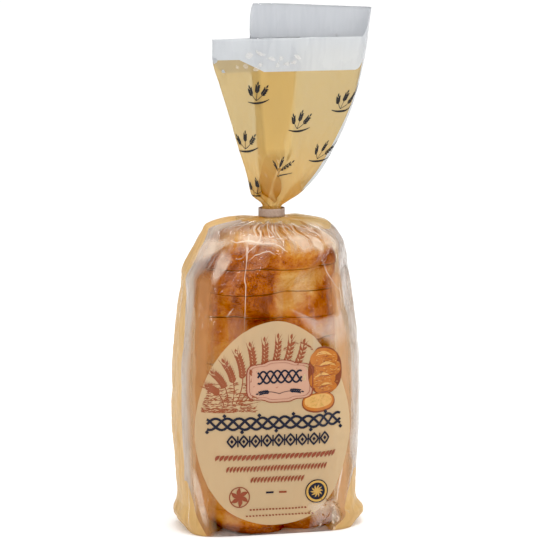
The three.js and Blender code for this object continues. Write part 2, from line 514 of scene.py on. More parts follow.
# %% [markdown]
# Baked egg wash is a thin brown varnish over a fine, slightly blistered skin. It gives the eye a soft
# gloss on top of a colour that runs from straw yellow in the stretched seams through orange brown to a dark
# chestnut on the proud parts. The cut face under it is a pale buttery crumb with small holes.

# %% Crust and crumb materials
BLOTCH = 15
MOTTLE = 4
BLISTER = 1.6
PORE = 2.4
BLOTCH_DEPTH = 0.24
FLECK_DEPTH = 0.15

brioche_crust, tree, output = new_material("egg_washed_brioche_crust")
blotch = spots(tree, BLOTCH, Detail=8.0, Roughness=0.68)
mottle = spots(tree, MOTTLE, Detail=4.0, Roughness=0.7)
fleck = spots(tree, BLISTER, Detail=3.0, Roughness=0.6)
blotched = remap(tree, calc(tree, "ADD", blotch, mottle), 0.7, 1.3, -BLOTCH_DEPTH, BLOTCH_DEPTH)
uneven = calc(tree, "ADD", blotched, remap(tree, fleck, 0.3, 0.7, -FLECK_DEPTH, FLECK_DEPTH))
baked = add(tree, "Attribute", {"attribute_name": "bake"}).outputs["Fac"]
depth = calc(tree, "ADD", baked, uneven)
shade = ramp(tree, depth, (
    (0.02, "#d8ab66"), (0.3, "#c98e40"), (0.55, "#be7523"), (0.8, "#a85608"), (1.0, "#7c3804")))
gloss = {"Coat Weight": 0.04, "Coat Roughness": 0.3, "Specular IOR Level": 0.3}
finish_material(tree, output, gloss, {
    "Base Color": shade, "Roughness": remap(tree, depth, 0, 1, 0.62, 0.42),
    "Normal": bump(tree, fleck, 0.35, 0.5 * MM)})

brioche_crumb, tree, output = new_material("buttery_brioche_crumb")
place = add(tree, "TexCoord").outputs["Object"]
pores = add(tree, "TexVoronoi", {"Scale": 1 / (PORE * MM)}, {"Vector": place}).outputs["Distance"]
shade = ramp(tree, pores, ((0.1, "#d9ad5e"), (0.5, "#efcf8c"), (0.9, "#f6e0ab")))
finish_material(tree, output, {"Roughness": 0.85}, {
    "Base Color": shade, "Normal": bump(tree, pores, 0.6, 0.8 * MM)})
print("crust and crumb ready")

# %% [markdown]
# A slicing machine cuts the loaf with straight parallel blades, and in the bag the slices stay together but
# never quite line up. So a copy of the skin is cut at the top and the bottom of each slice, the cuts are
# filled with crumb, and each slice is shifted and turned by a small seeded amount.

# %% Slices
SLICE_PITCH = 21.7
TOP_CUT = 239.6
SLICES = 12
CUT_GAP = 0.7
CRUST_THICKNESS = 2.2
CRUST_INDEX = 0
CRUMB_INDEX = 1

chance = random.Random(11)


def cut_slice(number, low, high):
    """One slice between two heights in millimetres."""
    shaper = bmesh.new()
    shaper.from_mesh(loaf_skin)
    for height, side in ((low, -1), (high, 1)):
        whole = [*shaper.verts, *shaper.edges, *shaper.faces]
        cut = bmesh.ops.bisect_plane(
            shaper, geom=whole, plane_co=(0, 0, height * MM), plane_no=(0, 0, side), clear_outer=True)
        rim = [part for part in cut["geom_cut"] if isinstance(part, bmesh.types.BMEdge)]
        if rim:
            faces = bmesh.ops.holes_fill(shaper, edges=rim, sides=0)["faces"]
            for face in faces:
                face.material_index = CRUMB_INDEX
            ring = bmesh.ops.inset_region(shaper, faces=faces, thickness=CRUST_THICKNESS * MM)["faces"]
            for face in ring:
                face.material_index = CRUST_INDEX
    middle = Vector((0, 0, (low + high) / 2 * MM))
    tilt = Matrix.Rotation(math.radians(chance.uniform(-0.5, 0.5)), 4, "Y")
    turn = Matrix.Rotation(math.radians(chance.uniform(-0.8, 0.8)), 4, "Z")
    shift = Matrix.Translation(Vector((chance.uniform(-0.7, 0.7), chance.uniform(-0.5, 0.5), 0)) * MM)
    place = shift @ Matrix.Translation(middle) @ tilt @ turn @ Matrix.Translation(-middle)
    bmesh.ops.transform(shaper, matrix=place, verts=shaper.verts)
    name = f"slice_{number:02d}"
    mesh = mesh_from(shaper, name)
    piece = new_piece(name, mesh, (brioche_crust, brioche_crumb))
    for polygon in mesh.polygons:
        polygon.use_smooth = polygon.material_index != CRUMB_INDEX
    return piece


slices = []
for number in range(SLICES):
    top = LOAF_HEIGHT + 30 if number == 0 else TOP_CUT - (number - 1) * SLICE_PITCH
    bottom = -10 if number == SLICES - 1 else TOP_CUT - number * SLICE_PITCH
    slices.append(cut_slice(number + 1, bottom + CUT_GAP / 2, top - CUT_GAP / 2))
print(len(slices), "slices,", sum(len(piece.data.polygons) for piece in slices), "faces")

# %% [markdown]
# The bag starts as a flat web of film, 452 mm round. The web is a grid whose columns run up the pack and
# whose rows run round it, and its own flat coordinates are kept as a UV map in metres, because the print
# belongs to the flat film. Each point then gets a place on the pack by the same section rules as the solid
# bag: half widths at each height, a squareness, and a lean. Rolling and welding a flat grid is how the real
# bag is made, and the print stays right wherever the film folds.

# %% Sizes of the bag, as in the solid
LOAF_DEPTH = 86
FILM_SLACK = 3
BODY_HEIGHT = 232
SHOULDER_RISE = 50
BELLY_HEIGHT = 110
CHEST_STARTS = 140
CHEST_ENDS = 245
FOOT_LEFT = 80
FOOT_RIGHT = 70
BELLY_LEFT = 88.5
BELLY_RIGHT = 80
CHEST_LEFT = 79.5
CHEST_RIGHT = 69
EAR_HEIGHT = 12
EAR_SPREAD = 7
EAR_REACH_LEFT = 7.5
EAR_REACH_RIGHT = 13
EAR_DEPTH_SHARE = 0.4
FOOT_SQUARE = 5.0
FRONT_SQUARE = 2.9
BACK_SQUARE = 4.5
FOOT_SQUARE_HEIGHT = 45

# How square the shoulders are in side view: 2 is an ellipse and more is boxier. The left shoulder slopes in
# evenly, by a share of its width, until it turns over to the neck.
LEFT_SHOULDER = 3.2
LEFT_SLOPE = 0.33
RIGHT_SHOULDER = 3.2
FRONT_SHOULDER = 2.6

LIP_HEIGHT = bag_high.z / MM
NECK_MIDDLE = (band_low.z + band_high.z) / 2 / MM
NECK_LOW = BODY_HEIGHT + SHOULDER_RISE - 1
NECK_HIGH = band_high.z / MM + 2
NECK_HALF_WIDTH = (band_high.x - band_low.x) / 2 / MM - 3.2
NECK_HALF_DEPTH = (band_high.y - band_low.y) / 2 / MM - 3.0
FRONT_EDGE_HEIGHT = 442
LIP_SLOPE = 0.055
FILM_ROUND = 452.0

# %% Sections of the bag
def body_section(z):
    """Half sizes of the bag's outline beside the loaf: left, right, depth, and how far the ears stand out."""
    rise = 1 - (1 - min(1, z / BELLY_HEIGHT)) ** 2
    narrow = ease(z, CHEST_STARTS, CHEST_ENDS)
    return {
        "left": mix(mix(FOOT_LEFT, BELLY_LEFT, rise), CHEST_LEFT, narrow),
        "right": mix(mix(FOOT_RIGHT, BELLY_RIGHT, rise), CHEST_RIGHT, narrow),
        "depth": LOAF_DEPTH / 2 + FILM_SLACK - 2 * (1 - ease(z, 0, 10)),
        "front_square": mix(FOOT_SQUARE, FRONT_SQUARE, ease(z, 0, FOOT_SQUARE_HEIGHT)),
        "round": 0.0,
        "ear": bell(z, EAR_HEIGHT, EAR_SPREAD),
    }


def shoulder_section(step):
    """A quarter of a superellipse in side view, from the body's top edge in to the neck."""
    chest = body_section(BODY_HEIGHT)
    rise = math.sin(step * math.pi / 2) ** 0.8

    def reach(power):
        return max(0.0, 1 - rise ** power) ** (1 / power)

    section = {
        "left": mix(NECK_HALF_WIDTH, chest["left"], min(1 - LEFT_SLOPE * rise, reach(LEFT_SHOULDER))),
        "right": mix(NECK_HALF_WIDTH, chest["right"], reach(RIGHT_SHOULDER)),
        "depth": mix(NECK_HALF_DEPTH, chest["depth"], reach(FRONT_SHOULDER)),
        "front_square": FRONT_SQUARE,
        "round": 1 - reach(FRONT_SHOULDER),
        "ear": 0.0,
    }
    return BODY_HEIGHT + SHOULDER_RISE * rise, section


def section_outline(section, count=360):
    """A closed outline in plan, from the back round past the left, the front and the right."""
    points = []
    for step in range(count):
        angle = math.pi / 2 + 2 * math.pi * step / count
        across, along = math.cos(angle), math.sin(angle)
        square = mix(section["front_square"] if along < 0 else BACK_SQUARE, 2, section["round"])
        reach = section["left"] if across < 0 else section["right"]
        ear_reach = EAR_REACH_LEFT if across < 0 else EAR_REACH_RIGHT
        ear = section["ear"] * ear_reach * bell(along, 0, EAR_DEPTH_SHARE)
        x = math.copysign(reach * abs(across) ** (2 / square) + ear, across)
        y = math.copysign(section["depth"] * abs(along) ** (2 / square), along)
        points.append(Vector((x, y)))
    return points


def side_lengths(points):
    """The lengths of the sides of a closed outline."""
    return [(end - start).length for start, end in zip(points, points[1:] + points[:1])]


def evenly(points, count):
    """Points at equal distances along a closed outline."""
    ends = points[1:] + points[:1]
    lengths = side_lengths(points)
    total = sum(lengths)
    found = []
    piece, passed = 0, 0.0
    for step in range(count):
        target = total * step / count
        while passed + lengths[piece] < target:
            passed += lengths[piece]
            piece += 1
        share = (target - passed) / max(lengths[piece], 1e-9)
        found.append(points[piece].lerp(ends[piece], share))
    return found


print("round the belly", round(sum(side_lengths(section_outline(body_section(BELLY_HEIGHT))))), "mm")

# %% [markdown]
# Above the band the bag opens like a fan. Its mouth is nearly flat: the front panel, the back panel a
# little further right and taller, and a side fold tucked in on the left, so that four layers lie over each
# other in the middle. The mouth is drawn as a closed outline of six corners. Each point of the film
# starts in the gathered neck and runs out to its own place on the mouth, slowly and straight on the left
# and in a quick curve on the right.

# %% Shape of the fan above the band
MOUTH = ((5, 8), (-20, 7), (28, 1), (-56, -7), (88.5, -6), (94, 8))
FRONT_PANEL_Y = -6.5
LIP_LEFT_CORNER = 1
LIP_RIGHT_CORNER = 4
LEFT_OPENS_OVER = 130.0
RIGHT_OPENS_OVER = 68.0
FAN_HEIGHT = LIP_HEIGHT - NECK_HIGH
BULGE_LEFT = 12.0
BULGE_RIGHT = 5.0
BULGE_FADES_OVER = 55.0

# Folds of the front panel just above the neck: middle and half width on the mouth, how far the fold laps
# over itself, and the height at which it has opened.
FAN_FOLDS = ((4, 28, 9, 44), (-36, 14, 5, 34), (52, 20, 8, 30))
FOLD_STAND_OFF = 3.5

mouth_outline = [Vector(corner) for corner in MOUTH]
mouth_sides = side_lengths(mouth_outline)


def corner_share(corner):
    """How far round the mouth a corner is, from 0 to 1."""
    return sum(mouth_sides[:corner]) / sum(mouth_sides)


def fan_opening(x, height):
    """How far a point bound for x on the mouth has opened at a height above the neck, from 0 to 1."""
    left = clamp(height / LEFT_OPENS_OVER) ** 0.9
    right = (1 - math.exp(-height / RIGHT_OPENS_OVER)) / (1 - math.exp(-FAN_HEIGHT / RIGHT_OPENS_OVER))
    return mix(left, right, ease(x, -25, 25))


def neck_bulge(x, height):
    """How far the film just above the neck swells sideways, for a point bound for x on the mouth."""
    sideways = BULGE_LEFT * clamp(x / 56, -1, 0) + BULGE_RIGHT * clamp(x / 56)
    return sideways * ease(height, 0, 8) * math.exp(-height / BULGE_FADES_OVER)


def fold_over(mouth_point, height):
    """How far a front panel's point is shifted to the right and to the back by the folds above the neck."""
    right, back = 0.0, 0.0
    for middle, half_width, lap, top in FAN_FOLDS:
        turn = (mouth_point.x - middle) / half_width
        if abs(turn) < 1 and abs(mouth_point.y - FRONT_PANEL_Y) < 0.6:
            strength = ease(height, 0, 0.35 * top) * (1 - ease(height, 0.45 * top, top))
            right -= lap * math.sin(math.pi * turn) * strength
            back += FOLD_STAND_OFF * turn * strength
    return right, back


def is_lip(share):
    """1 on the part of the web that is the taller back panel, where share runs once round the web."""
    left, right = corner_share(LIP_LEFT_CORNER), corner_share(LIP_RIGHT_CORNER)
    return max(1 - ease(share, left - 0.006, left + 0.002), ease(share, right - 0.01, right + 0.02))


print("mouth outline", round(sum(mouth_sides)), "mm round")

# %% [markdown]
# Rows of the web are spaced evenly along the film, not up the pack, so that its squares stay square. The
# gathered parts also need pleats, because a full web has to pass through the narrow neck: the film goes in
# and out by a zigzag whose depth takes up the spare width.

# %% Rows of the web
COLUMNS = 120
ROW_PITCH = 5.0
PLEATS = 19
PLEAT_LIMIT = 0.7
FAN_PLEAT_LIMIT = 0.4
PLEATS_FADE_OVER = 22.0
FAN_BELLY = 7
SHOULDER_ROWS = 15
NECK_ROWS = 4
FAN_ROWS = 33


def pleat_wave(share):
    """A zigzag round the web, from 0 on a ridge to 1 in a valley, with pleats of uneven width."""
    place = share * PLEATS + 0.4 * math.sin(4 * math.pi * share + 1.3) + 0.3 * math.sin(10 * math.pi * share)
    return abs(2 * (place - math.floor(place)) - 1)


def with_pleats(points, heights, limit, lie_down, flat=0.0):
    """The row with its spare film folded in: down where the film lies level, to the back where flat."""
    total = sum(side_lengths(points))
    radius = total / (2 * math.pi)
    spare = max(1.0, FILM_ROUND / total)
    depth = min(limit * radius, 0.25 * total / PLEATS * math.sqrt(spare * spare - 1))
    middle = sum(points, Vector((0, 0))) / COLUMNS
    folded = []
    for step, (point, z) in enumerate(zip(points, heights)):
        inward = middle - point
        inward.x *= 1 - flat
        share = step / COLUMNS
        uneven = 0.8 + 0.3 * math.sin(6 * math.pi * share + 0.8)
        fold = min(depth * uneven, inward.length * 0.6) * pleat_wave(share)
        moved = point + inward.normalized() * fold * math.cos(lie_down)
        folded.append(Vector((moved.x, moved.y, z - fold * math.sin(lie_down))))
    return folded


def body_row(z):
    return [Vector((*point, z)) for point in evenly(section_outline(body_section(z)), COLUMNS)]


def shoulder_row(step):
    z, section = shoulder_section(step)
    points = evenly(section_outline(section), COLUMNS)
    return with_pleats(points, [z] * COLUMNS, PLEAT_LIMIT * step, step * math.pi / 2)


def neck_points():
    turns = [math.pi / 2 + 2 * math.pi * step / COLUMNS for step in range(COLUMNS)]
    return [polar(turn, NECK_HALF_WIDTH, NECK_HALF_DEPTH) for turn in turns]


def fan_row(share):
    """A row of the fan, at a share of the way from the neck to the mouth's edge."""
    row, heights = [], []
    for step, (start, end) in enumerate(zip(neck_points(), evenly(mouth_outline, COLUMNS))):
        lip = LIP_HEIGHT - LIP_SLOPE * max(0.0, end.x)
        edge = mix(FRONT_EDGE_HEIGHT, lip, is_lip(step / COLUMNS)) - NECK_HIGH
        height = edge * share
        opening = fan_opening(end.x, height)
        belly = FAN_BELLY * bell(height, 26, 22) * ease(height, 0, 8) * math.copysign(1, end.y)
        right, back = fold_over(end, height)
        right += neck_bulge(end.x, height)
        across, along = mix(start.x, end.x, opening), mix(start.y, end.y, opening)
        row.append(Vector((across + right, along + belly + back)))
        heights.append(NECK_HIGH + height)
    middle_height = FAN_HEIGHT * share
    limit = FAN_PLEAT_LIMIT * math.exp(-middle_height / PLEATS_FADE_OVER)
    return with_pleats(row, heights, limit, 0.0, ease(middle_height, 0, 12))


def web_rows():
    """All rows from the foot to the mouth, and which part of the bag each one belongs to."""
    body_rows = round(BODY_HEIGHT / ROW_PITCH)
    rows = [("body", body_row(BODY_HEIGHT * step / body_rows)) for step in range(body_rows)]
    rows += [("shoulder", shoulder_row(step / SHOULDER_ROWS)) for step in range(SHOULDER_ROWS)]
    for step in range(NECK_ROWS):
        z = mix(NECK_LOW, NECK_HIGH, step / NECK_ROWS)
        rows.append(("neck", [Vector((*point, z)) for point in neck_points()]))
    rows += [("fan", fan_row(step / FAN_ROWS)) for step in range(FAN_ROWS + 1)]
    return rows


rows = web_rows()
web_height = [0.0]
for (_, lower), (_, upper) in zip(rows, rows[1:]):
    rise = sum((high - low).length for low, high in zip(lower, upper)) / COLUMNS
    web_height.append(web_height[-1] + rise)
first_row = {}
for number, (part, _) in enumerate(rows):
    first_row.setdefault(part, number)
neck_start, fan_start = web_height[first_row["neck"]], web_height[first_row["fan"]]
print(len(rows), "rows, flat film", round(web_height[-1]), "mm long, the neck starts at", round(neck_start))

# %% [markdown]
# The web is now made flat as a grid, welded into a tube, and given two shapes: where it starts on the pack,
# and the smooth straight tube that it was before anything was packed. The second is the cloth's rest shape,
# so the simulation knows how much film there really is.

# %% Roll the web into a tube
def web_place(grid_point, count_up):
    """The row and column of a vertex of the unit grid."""
    column = round((grid_point.x + 0.5) * COLUMNS)
    row = round((grid_point.y + 0.5) * count_up)
    return row, column


def tube_point(column, height):
    """The same point on a straight tube of the film's true width."""
    place = polar(math.pi / 2 + 2 * math.pi * column / COLUMNS, FILM_ROUND / (2 * math.pi))
    return Vector((*place, height)) * MM


shaper = bmesh.new()
last_row = len(rows) - 1
bmesh.ops.create_grid(shaper, x_segments=COLUMNS, y_segments=last_row, size=0.5)
web_map = shaper.loops.layers.uv.new("web")
row_layer = shaper.verts.layers.int.new("row")
column_layer = shaper.verts.layers.int.new("column")
for vertex in shaper.verts:
    vertex[row_layer], vertex[column_layer] = web_place(vertex.co, last_row)
for face in shaper.faces:
    for loop in face.loops:
        across = (loop.vert[column_layer] / COLUMNS - 0.5) * FILM_ROUND
        loop[web_map].uv = Vector((across, web_height[loop.vert[row_layer]])) * MM
for vertex in shaper.verts:
    vertex.co = rows[vertex[row_layer]][1][vertex[column_layer] % COLUMNS] * MM
bmesh.ops.remove_doubles(shaper, verts=shaper.verts, dist=0.01 * MM)
bmesh.ops.recalc_face_normals(shaper, faces=shaper.faces)
where = [(vertex[row_layer], vertex[column_layer]) for vertex in shaper.verts]
web_mesh = mesh_from(shaper, "film")
print("web", len(web_mesh.polygons), "faces")

# %% [markdown]
# Film that is gathered and let go doesn't follow a formula: it slides, bulges and settles into folds of its
# own. A short cloth simulation with gravity off does just that. The neck and the foot are held, the mouth
# and the side folds are held softly, and the coarse skin of the loaf stands in the way. The result is
# applied to the mesh, so no simulation is left on the piece.

# %% Let the film settle
SETTLE_FRAMES = 34
FILM_CLEARANCE = 1.1
FAN_EASE = 1.03
BODY_EASE = 1.04
MOUTH_HOLD = 0.5
SIDE_FOLD_HOLD = 0.25
SIDE_FOLD_WIDTH = 0.02
CLOTH = {
    "quality": 6, "mass": 0.05, "tension_stiffness": 25, "compression_stiffness": 25, "shear_stiffness": 8,
    "bending_stiffness": 0.5, "tension_damping": 10, "compression_damping": 10, "shear_damping": 8,
    "bending_damping": 1.0}


def settle(web, frames):
    """Runs the cloth and returns the settled mesh."""
    scene = bpy.context.scene
    film = new_object("settling_film", web)
    film.shape_key_add(name="Basis")
    tube = film.shape_key_add(name="tube")
    for index, (row, column) in enumerate(where):
        straight = tube_point(column, web_height[row])
        straight.x *= BODY_EASE
        straight.y *= BODY_EASE
        gathered = Vector(web.vertices[index].co)
        gathered.x *= FAN_EASE
        share = clamp((row - first_row["neck"]) / (first_row["fan"] - 1 - first_row["neck"]))
        tube.data[index].co = straight.lerp(gathered, share)
    tube.value = 0.0
    held = film.vertex_groups.new(name="held")
    for index, (row, column) in enumerate(where):
        part = rows[row][0]
        if part == "neck" or row <= 1:
            held.add([index], 1.0, "REPLACE")
        elif row == last_row:
            held.add([index], MOUTH_HOLD, "REPLACE")
        elif min(abs(column / COLUMNS - 0.25), abs(column / COLUMNS - 0.75)) < SIDE_FOLD_WIDTH:
            held.add([index], SIDE_FOLD_HOLD, "REPLACE")
    form = new_object("loaf_form", loaf_form)
    form.modifiers.new("collision", "COLLISION")
    form.collision.thickness_outer = FILM_CLEARANCE * MM
    form.collision.damping = 0.3
    form.collision.cloth_friction = 4
    cloth = film.modifiers.new("cloth", "CLOTH")
    settings = cloth.settings
    for name, value in CLOTH.items():
        setattr(settings, name, value)
    settings.vertex_group_mass = "held"
    settings.rest_shape_key = tube
    settings.effector_weights.gravity = 0.0
    cloth.collision_settings.distance_min = FILM_CLEARANCE * MM
    cloth.collision_settings.use_self_collision = False
    cloth.point_cache.frame_end = frames
    for number in range(1, frames + 1):
        scene.frame_set(number)
    settled = applied(film)
    scene.frame_set(1)
    bpy.data.objects.remove(film)
    bpy.data.objects.remove(form)
    return settled


settled_mesh = settle(web_mesh, SETTLE_FRAMES)
print("settled", [round((max(v.co[k] for v in settled_mesh.vertices)) * 1000, 1) for k in range(3)])

# %% [markdown]
# Stiff film is never as smooth as cloth. It breaks into flat facets that meet in sharp creases, and the
# facets are what mirrors the softboxes in hard-edged patches. Scatter points over the flat web, and take
# the squared distance to the second nearest point less that to the nearest: inside each cell that is an
# exact plane, and at the cell's edges the planes meet in a crease. Three sizes of such cells, drawn out
# along the pack, make the crinkles.

# %% Crinkle the film
CRINKLES = ((34, 74, 2.4), (15, 27, 1.0), (7, 10, 0.35))
FAN_CRINKLE = 0.4

# Sharp creases where the film was folded or pulled: both ends on the flat web, and the height
CREASE_HALF_WIDTH = 3.2
FOOT_SHARPNESS = 0.85
FOOT_INSET = 8
LIP_STARTS = 400
LIP_CORNER = math.radians(135)
CREASES = (
    ((-25, 168), (-27, 290), 1.5), ((-48, 214), (-40, 262), 1.3), ((-40, 262), (-58, 240), 1.2),
    ((-27, 246), (-14, 268), 1.2), ((-14, 268), (2, 250), 1.2), ((20, 292), (42, 252), 1.3),
    ((34, 300), (64, 262), 1.3), ((62, 250), (66, 180), 1.4), ((56, 236), (70, 196), 1.2),
    ((-62, 8), (-58, 62), 1.6), ((-70, 4), (-72, 58), 1.5), ((-46, 152), (-30, 176), 1.0),
    ((66, 20), (78, 64), 1.5), ((54, 10), (86, 30), 1.4), ((-30, 296), (-44, 256), 1.4),
    ((-6, 300), (-10, 262), 1.4), ((8, 304), (16, 266), 1.3),
)


def facets(u, v, across, along):
    """A surface of flat facets, 0 at their creases, with cells of a given size in millimetres."""
    nearest = noise.voronoi(Vector((u / across, v / along, across)), distance_metric="DISTANCE_SQUARED")[0]
    return min(1.0, nearest[1] - nearest[0])


def ridge(u, v, start, end, height):
    """The height of one sharp crease that runs from start to end on the flat web."""
    nearest, share = geometry.intersect_point_line(Vector((u, v)), Vector(start), Vector(end))
    if not 0 <= share <= 1:
        return 0.0
    away = (Vector((u, v)) - nearest.to_2d()).length
    return height * max(0.0, 1 - away / CREASE_HALF_WIDTH) * min(1.0, 6 * share, 6 * (1 - share))


def crinkle_height(u, v):
    """The height in millimetres of the crinkles and creases at a place on the flat web."""
    crinkles = sum(height * facets(u, v, across, along) for across, along, height in CRINKLES)
    return crinkles + sum(ridge(u, v, start, end, height) for start, end, height in CREASES)


shaper = bmesh.new()
shaper.from_mesh(settled_mesh)
sharp = shaper.edges.layers.float.new("crease_edge")
pointed = shaper.verts.layers.float.new("crease_vert")
for vertex in shaper.verts:
    rim = [edge.other_vert(vertex).co - vertex.co for edge in vertex.link_edges if edge.is_boundary]
    if vertex.co.z > LIP_STARTS * MM and len(rim) == 2 and rim[0].angle(rim[1]) < LIP_CORNER:
        vertex[pointed] = 1.0
foot_edges = [edge for edge in shaper.edges if edge.is_boundary and edge.verts[0].co.z < 5 * MM]
for edge in foot_edges:
    edge[sharp] = FOOT_SHARPNESS
foot = bmesh.ops.holes_fill(shaper, edges=foot_edges, sides=0)["faces"]
bmesh.ops.inset_region(shaper, faces=foot, thickness=FOOT_INSET * MM, use_even_offset=True)
bmesh.ops.poke(shaper, faces=[face for face in shaper.faces if len(face.verts) > 4])

helper = new_object("fine_helper", mesh_from(shaper, "film_coarse"))
finer = helper.modifiers.new("finer", "SUBSURF")
finer.levels = finer.render_levels = 1
film_mesh = applied(helper)
film_mesh.name = "bag_film"
bpy.data.objects.remove(helper)

web_of = {}
for loop, flat in zip(film_mesh.loops, film_mesh.uv_layers["web"].data):
    web_of[loop.vertex_index] = flat.uv.copy()
normals = [vertex.normal.copy() for vertex in film_mesh.vertices]
for vertex in film_mesh.vertices:
    u, v = web_of[vertex.index] / MM
    height = vertex.co.z / MM
    on_fan = ease(height, NECK_HIGH, NECK_HIGH + 10)
    calm = ease(height, 2, 12) * (1 - bell(height, NECK_MIDDLE, 9)) * mix(1, FAN_CRINKLE, on_fan)
    vertex.co += normals[vertex.index] * (crinkle_height(u, v) - 0.7) * calm * MM
    vertex.co.z = max(vertex.co.z, 0.1 * MM)
print("film", len(film_mesh.polygons), "faces")

# %% [markdown]
# The film is oriented polypropylene: thin, clear and glossy. Part of it is printed. The back, the rear of
# the side folds and the whole top are a warm translucent yellow, the lip is bare, and the front carries a
# nearly opaque cream oval. Translucent ink both lets light through and scatters it, so each printed layer
# is a transparent shader mixed with some diffuse and some translucent light, and several layers over each
# other deepen on their own, as in the neck. Each field of the print is a mask that is worked out from the
# flat web's coordinates.

# %% Fields of the print
FILM_THICKNESS = 0.1
YELLOW_FROM_LEFT = -88.0
YELLOW_AT_SHOULDER = -101.0
YELLOW_FROM_RIGHT = 132.0
PRINT_TOP = fan_start + 136.0
PRINT_NECK = neck_start - 16.0
WING_START = 68.0
OVAL_MIDDLE_U = 1.0
OVAL_MIDDLE_V = 104.0
OVAL_HALF_WIDTH = 74.5
OVAL_HALF_HEIGHT = 93.5

# The side fold on the left lies double: its middle and half width. The front panel hides it in the middle
# of the fan, and looks deeper and denser there. The fan's right end is bare, from a line that runs from
# low to high on the web.
SIDE_FOLD_MIDDLE, SIDE_FOLD_HALF = -107.0, 22.0
FAN_GAP_LOW, FAN_GAP_HIGH, FAN_GAP_END = 101.0, 112.0, 131.0

# The fold above the neck is painted darker, painted shade in the fold over its extra layers of ink: its
# middle across and up, and its half width and height.
DEEP_FOLD = (6.0, fan_start + 31.0, 26.0, 27.0)

# The film's material holds its print and also the painted veil, glare, glow and fold shade
printed_film, tree, output = new_material("printed_film_with_painted_light_and_shade")
flat = add(tree, "UVMap", {"uv_map": "web"})
in_mm = add(tree, "Mapping", {"Scale": (1 / MM, 1 / MM, 1)}, {"Vector": flat.outputs["UV"]}).outputs["Vector"]
web = add(tree, "SeparateXYZ", links={"Vector": in_mm})
u, v = web.outputs["X"], web.outputs["Y"]

left_rise = calc(tree, "MINIMUM", remap(tree, u, -60, -50, 0, 12), remap(tree, u, -22, 2, 12, 0))
top_line = calc(tree, "ADD", left_rise, PRINT_TOP)
above_print = calc(tree, "GREATER_THAN", v, top_line)
neck_line = remap(tree, u, 30, 92, PRINT_NECK, PRINT_NECK - 24)
off_middle = calc(tree, "ABSOLUTE", u)
corner_line = most(tree, remap(tree, u, 58, 82, 0, 56), remap(tree, u, -62, -84, 0, 50))
left_line = remap(tree, v, 185, 250, YELLOW_FROM_LEFT, YELLOW_AT_SHOULDER)
on_left = calc(tree, "LESS_THAN", u, left_line)
in_corner = calc(tree, "LESS_THAN", v, corner_line)
sides = most(tree, on_left, calc(tree, "GREATER_THAN", u, YELLOW_FROM_RIGHT))
ends = most(tree, calc(tree, "GREATER_THAN", v, neck_line), in_corner)
gap_line = remap(tree, v, PRINT_NECK + 60, PRINT_NECK + 150, FAN_GAP_LOW, FAN_GAP_HIGH)
past_line = calc(tree, "GREATER_THAN", u, gap_line)
before_end = calc(tree, "LESS_THAN", u, FAN_GAP_END)
fan_gap = times(tree, past_line, before_end, remap(tree, v, PRINT_NECK + 44, PRINT_NECK + 48))
bare = most(tree, above_print, fan_gap)
yellow = times(tree, most(tree, sides, ends), calc(tree, "SUBTRACT", 1.0, bare))
side_fold = calc(tree, "COMPARE", u, SIDE_FOLD_MIDDLE, SIDE_FOLD_HALF)
over_folds = times(tree, remap(tree, u, -17, -1), remap(tree, u, 50, 34),
                   remap(tree, v, PRINT_NECK + 60, PRINT_NECK + 90))
gathered = times(tree, remap(tree, v, PRINT_NECK - 4, PRINT_NECK + 14),
                 remap(tree, v, PRINT_NECK + 110, PRINT_NECK + 34))


def across_oval(tree, value, middle, half):
    """Where a value lies across an oval: -1 and 1 at its ends, 0 in its middle."""
    return calc(tree, "DIVIDE", calc(tree, "SUBTRACT", value, middle), half)


def out_of_oval(tree, x, y):
    """The square of how far out a place lies, with 1 on the oval's edge."""
    return calc(tree, "ADD", times(tree, x, x), times(tree, y, y))


# The painted shade inside the fold above the neck, as a mask
deep_y = across_oval(tree, v, DEEP_FOLD[1], DEEP_FOLD[3])
deep_far = out_of_oval(tree, across_oval(tree, u, DEEP_FOLD[0], DEEP_FOLD[2]), deep_y)
deep_rim = times(tree, remap(tree, deep_far, 0.45, 0.95), remap(tree, deep_y, 0.7, -0.4))
deep_body = remap(tree, deep_y, 1.0, -0.6, 0.1, 0.5)
deep_fold_shade = times(tree, remap(tree, deep_far, 1.02, 0.92), most(tree, deep_rim, deep_body))

oval_y = across_oval(tree, v, OVAL_MIDDLE_V, OVAL_HALF_HEIGHT)
oval_x = across_oval(tree, u, OVAL_MIDDLE_U, OVAL_HALF_WIDTH)
egg_x = times(tree, oval_x, remap(tree, oval_y, -1, 1, 0.94, 1.12))
cream = calc(tree, "LESS_THAN", out_of_oval(tree, egg_x, oval_y), 1.0)
print("print reaches up to", round(PRINT_TOP), "mm")
print("oval", 2 * OVAL_HALF_WIDTH, "by", 2 * OVAL_HALF_HEIGHT, "mm")

# %% [markdown]
# Crumpled film is whitest where it is bent most: over the shoulders, in streaks that run to the neck, and
# down the loose wings beside the loaf. That white is painted into the film's colour as a veil, partly for the
# film's own whitening and partly as painted glare of the bright room that the crumpled film mirrors, and
# flat panes of it are painted glare on facets. A noise that is drawn out along the pack gives such a white
# veil. Finer facets than the mesh can hold are a bump on the mirror only, with the same flat cells. The film
# beside the loaf also has a painted glow of its crust's colour, in a soft strip on each side.

# %% Painted veil, glare, glow and facets
# Sizes and strengths of the painted white veil (partly whitened film, partly painted glare), of the painted
# glare on panes, and of the painted crust glow
VEIL_WIDTH = 5.0
VEIL_LENGTH = 34.0
BEND_VEIL = 0.3
SHOULDER_VEIL = 0.3
WING_VEIL = 0.44
STRIP_VEIL = 0.5
GLOW_LEFT = 0.52
GLOW_RIGHT = 0.6
PANE_WIDTH = 15.0
PANE_LENGTH = 30.0
FRONT_PANES = 0.15
SHOULDER_PANES = 0.42
FACETS = ((17.0, 40.0, 2.2), (7.0, 14.0, 0.8))


def in_cells(across, along):
    """The flat web's coordinates, counted in cells of some millimetres across and along."""
    return add(tree, "Mapping", {"Scale": (1 / across, 1 / along, 1)}, {"Vector": in_mm}).outputs["Vector"]


